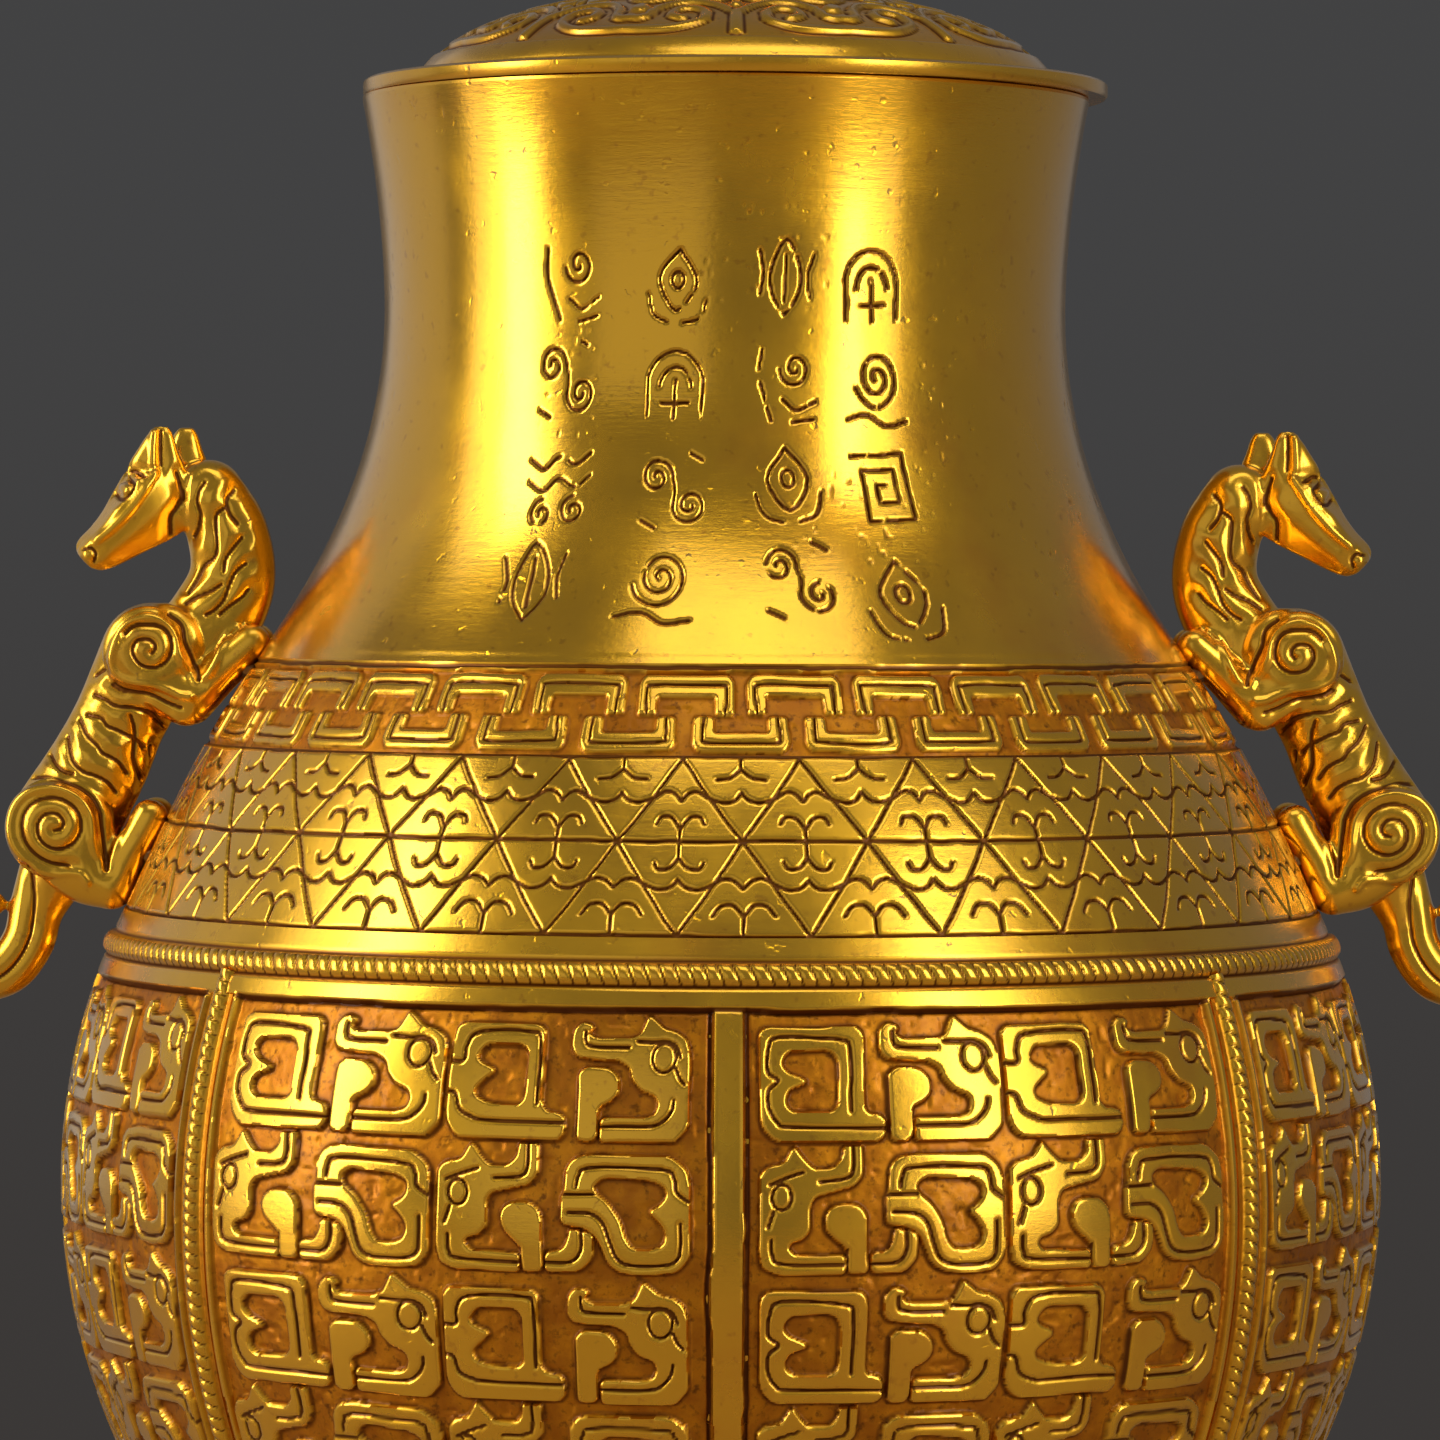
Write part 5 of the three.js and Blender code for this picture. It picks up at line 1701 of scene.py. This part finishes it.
class BOTTLE_OT_stage(Piece, bpy.types.Operator):
    """Build the floor, the backdrop, the lights and the camera"""

    bl_idname = "bottle.stage"
    bl_label = "Stage"

    def build(self):
        f = finish()
        self.sheet(
            "floor", (0, -0.2, -0.0006), (3.2, 2.6), (0, 0, 0), self.matt("floor_paint", tuple(f.floor)),
        )
        self.sheet("backdrop", (0, 0.54, 0.23), (0.56, 0.46), (math.radians(90), 0, 0), self.backdrop_paint())
        world = bpy.data.worlds.new("dim_room")
        bpy.context.scene.world = world
        world.use_nodes = True
        light = world.node_tree.nodes["Background"].inputs
        light["Color"].default_value = (0.5, 0.5, 0.52, 1)
        light["Strength"].default_value = 0.36
        for softbox in SOFTBOXES:
            self.softbox(*softbox)
        self.camera()
        bpy.context.scene.view_settings.view_transform = "Standard"

    @staticmethod
    def matt(name, paint):
        n = Nodes(name)
        n.put(n.shader.inputs["Base Color"], (*paint, 1))
        n.shader.inputs["Roughness"].default_value = 0.8
        return n.material

    @staticmethod
    def backdrop_paint():
        """Grey paint that glows at its own painted level for the camera and the metal, darker towards the
        bottom as painted falloff of light; a view from behind passes it.
        """
        f, n = finish(), Nodes("backdrop_paint")
        height = n.add("SeparateXYZ")
        n.put(height.inputs[0], n.add("TexCoord").outputs["Object"])
        # Painted falloff of light: the glow is darker towards the backdrop's foot
        paint = n.mix(n.span(height.outputs[2], 0.0, 0.4), tuple(f.backdrop_shaded_foot), tuple(f.backdrop))
        n.put(n.shader.inputs["Base Color"], paint)
        n.shader.inputs["Roughness"].default_value = 1.0
        glow = n.add("Emission")
        n.put(glow.inputs["Color"], paint)
        rays = n.add("LightPath").outputs
        seen = n.maths("MAXIMUM", rays["Is Camera Ray"], rays["Is Glossy Ray"])
        seen = n.maths("MAXIMUM", seen, rays["Is Transmission Ray"])
        blend = n.add("MixShader")
        n.put(blend.inputs[0], seen)
        n.put(blend.inputs[1], n.shader.outputs[0])
        n.put(blend.inputs[2], glow.outputs[0])
        one_sided = n.add("MixShader")
        n.put(one_sided.inputs[0], n.add("NewGeometry").outputs["Backfacing"])
        n.put(one_sided.inputs[1], blend.outputs[0])
        n.put(one_sided.inputs[2], n.add("BsdfTransparent").outputs[0])
        n.put(n.tree.nodes["Material Output"].inputs["Surface"], one_sided.outputs[0])
        return n.material

    @staticmethod
    def sheet(name, at, extent, turn, material):
        deselect_all()
        bpy.ops.mesh.primitive_plane_add(size=1, location=at, rotation=turn)
        obj = bpy.context.object
        obj.name = obj.data.name = name
        obj.scale = (*extent, 1)
        bpy.ops.object.transform_apply(location=True, rotation=True, scale=True)
        obj.data.materials.append(material)

    @staticmethod
    def softbox(name, azimuth, distance, height, extent, power):
        a = math.radians(azimuth)
        at = Vector((distance * math.sin(a), -distance * math.cos(a), height))
        deselect_all()
        bpy.ops.object.light_add(type="AREA", location=at)
        light = bpy.context.object
        light.name = name
        light.data.shape = "RECTANGLE"
        light.data.size, light.data.size_y = extent
        light.data.energy = power
        light.rotation_euler = (Vector((0, 0, 0.2)) - at).to_track_quat("-Z", "Y").to_euler()

    @staticmethod
    def camera():
        pitch, roll = math.radians(CAMERA_PITCH), math.radians(CAMERA_ROLL)
        side = Vector((1, 0, 0))
        up = Vector((0, math.sin(pitch), math.cos(pitch)))
        forward = Vector((0, math.cos(pitch), -math.sin(pitch)))
        right = side * math.cos(roll) + up * math.sin(roll)
        head = up * math.cos(roll) - side * math.sin(roll)
        turn = Matrix((right, head, -forward)).transposed()
        deselect_all()
        bpy.ops.object.camera_add()
        camera = bpy.context.object
        camera.matrix_world = Matrix.Translation(CAMERA_AT) @ turn.to_4x4()
        camera.data.lens = LENS
        camera.data.sensor_width = SENSOR
        bpy.context.scene.camera = camera


OPERATORS = (
    BOTTLE_OT_wall,
    BOTTLE_OT_neck,
    BOTTLE_OT_bands,
    BOTTLE_OT_panels,
    BOTTLE_OT_ropes,
    BOTTLE_OT_lower_belly,
    BOTTLE_OT_foot,
    BOTTLE_OT_beasts,
    BOTTLE_OT_lid,
    BOTTLE_OT_bare_parts,
    BOTTLE_OT_stage,
)


class BOTTLE_PT_panel(bpy.types.Panel):
    """Lists the sizes, the colours and the pieces"""

    bl_idname = "BOTTLE_PT_panel"
    bl_label = "Gilt Bronze Bottle"
    bl_space_type = "VIEW_3D"
    bl_region_type = "UI"
    bl_category = "Bottle"

    def draw(self, context):
        for group in (context.scene.bottle_shape, context.scene.bottle_carving, context.scene.bottle_finish):
            box = self.layout.box()
            for name in type(group).__annotations__:
                box.prop(group, name)
        for operator in OPERATORS:
            self.layout.operator(operator.bl_idname)


CLASSES = (BottleShape, BottleCarving, BottleFinish, *OPERATORS, BOTTLE_PT_panel)


def register():
    for cls in CLASSES:
        bpy.utils.register_class(cls)
    bpy.types.Scene.bottle_shape = PointerProperty(type=BottleShape)
    bpy.types.Scene.bottle_carving = PointerProperty(type=BottleCarving)
    bpy.types.Scene.bottle_finish = PointerProperty(type=BottleFinish)


def unregister():
    del bpy.types.Scene.bottle_finish
    del bpy.types.Scene.bottle_carving
    del bpy.types.Scene.bottle_shape
    for cls in reversed(CLASSES):
        bpy.utils.unregister_class(cls)


def main():
    register()
    for operator in OPERATORS:
        getattr(bpy.ops.bottle, operator.bl_idname.split(".")[1])()


if __name__ == "__main__":
    main()
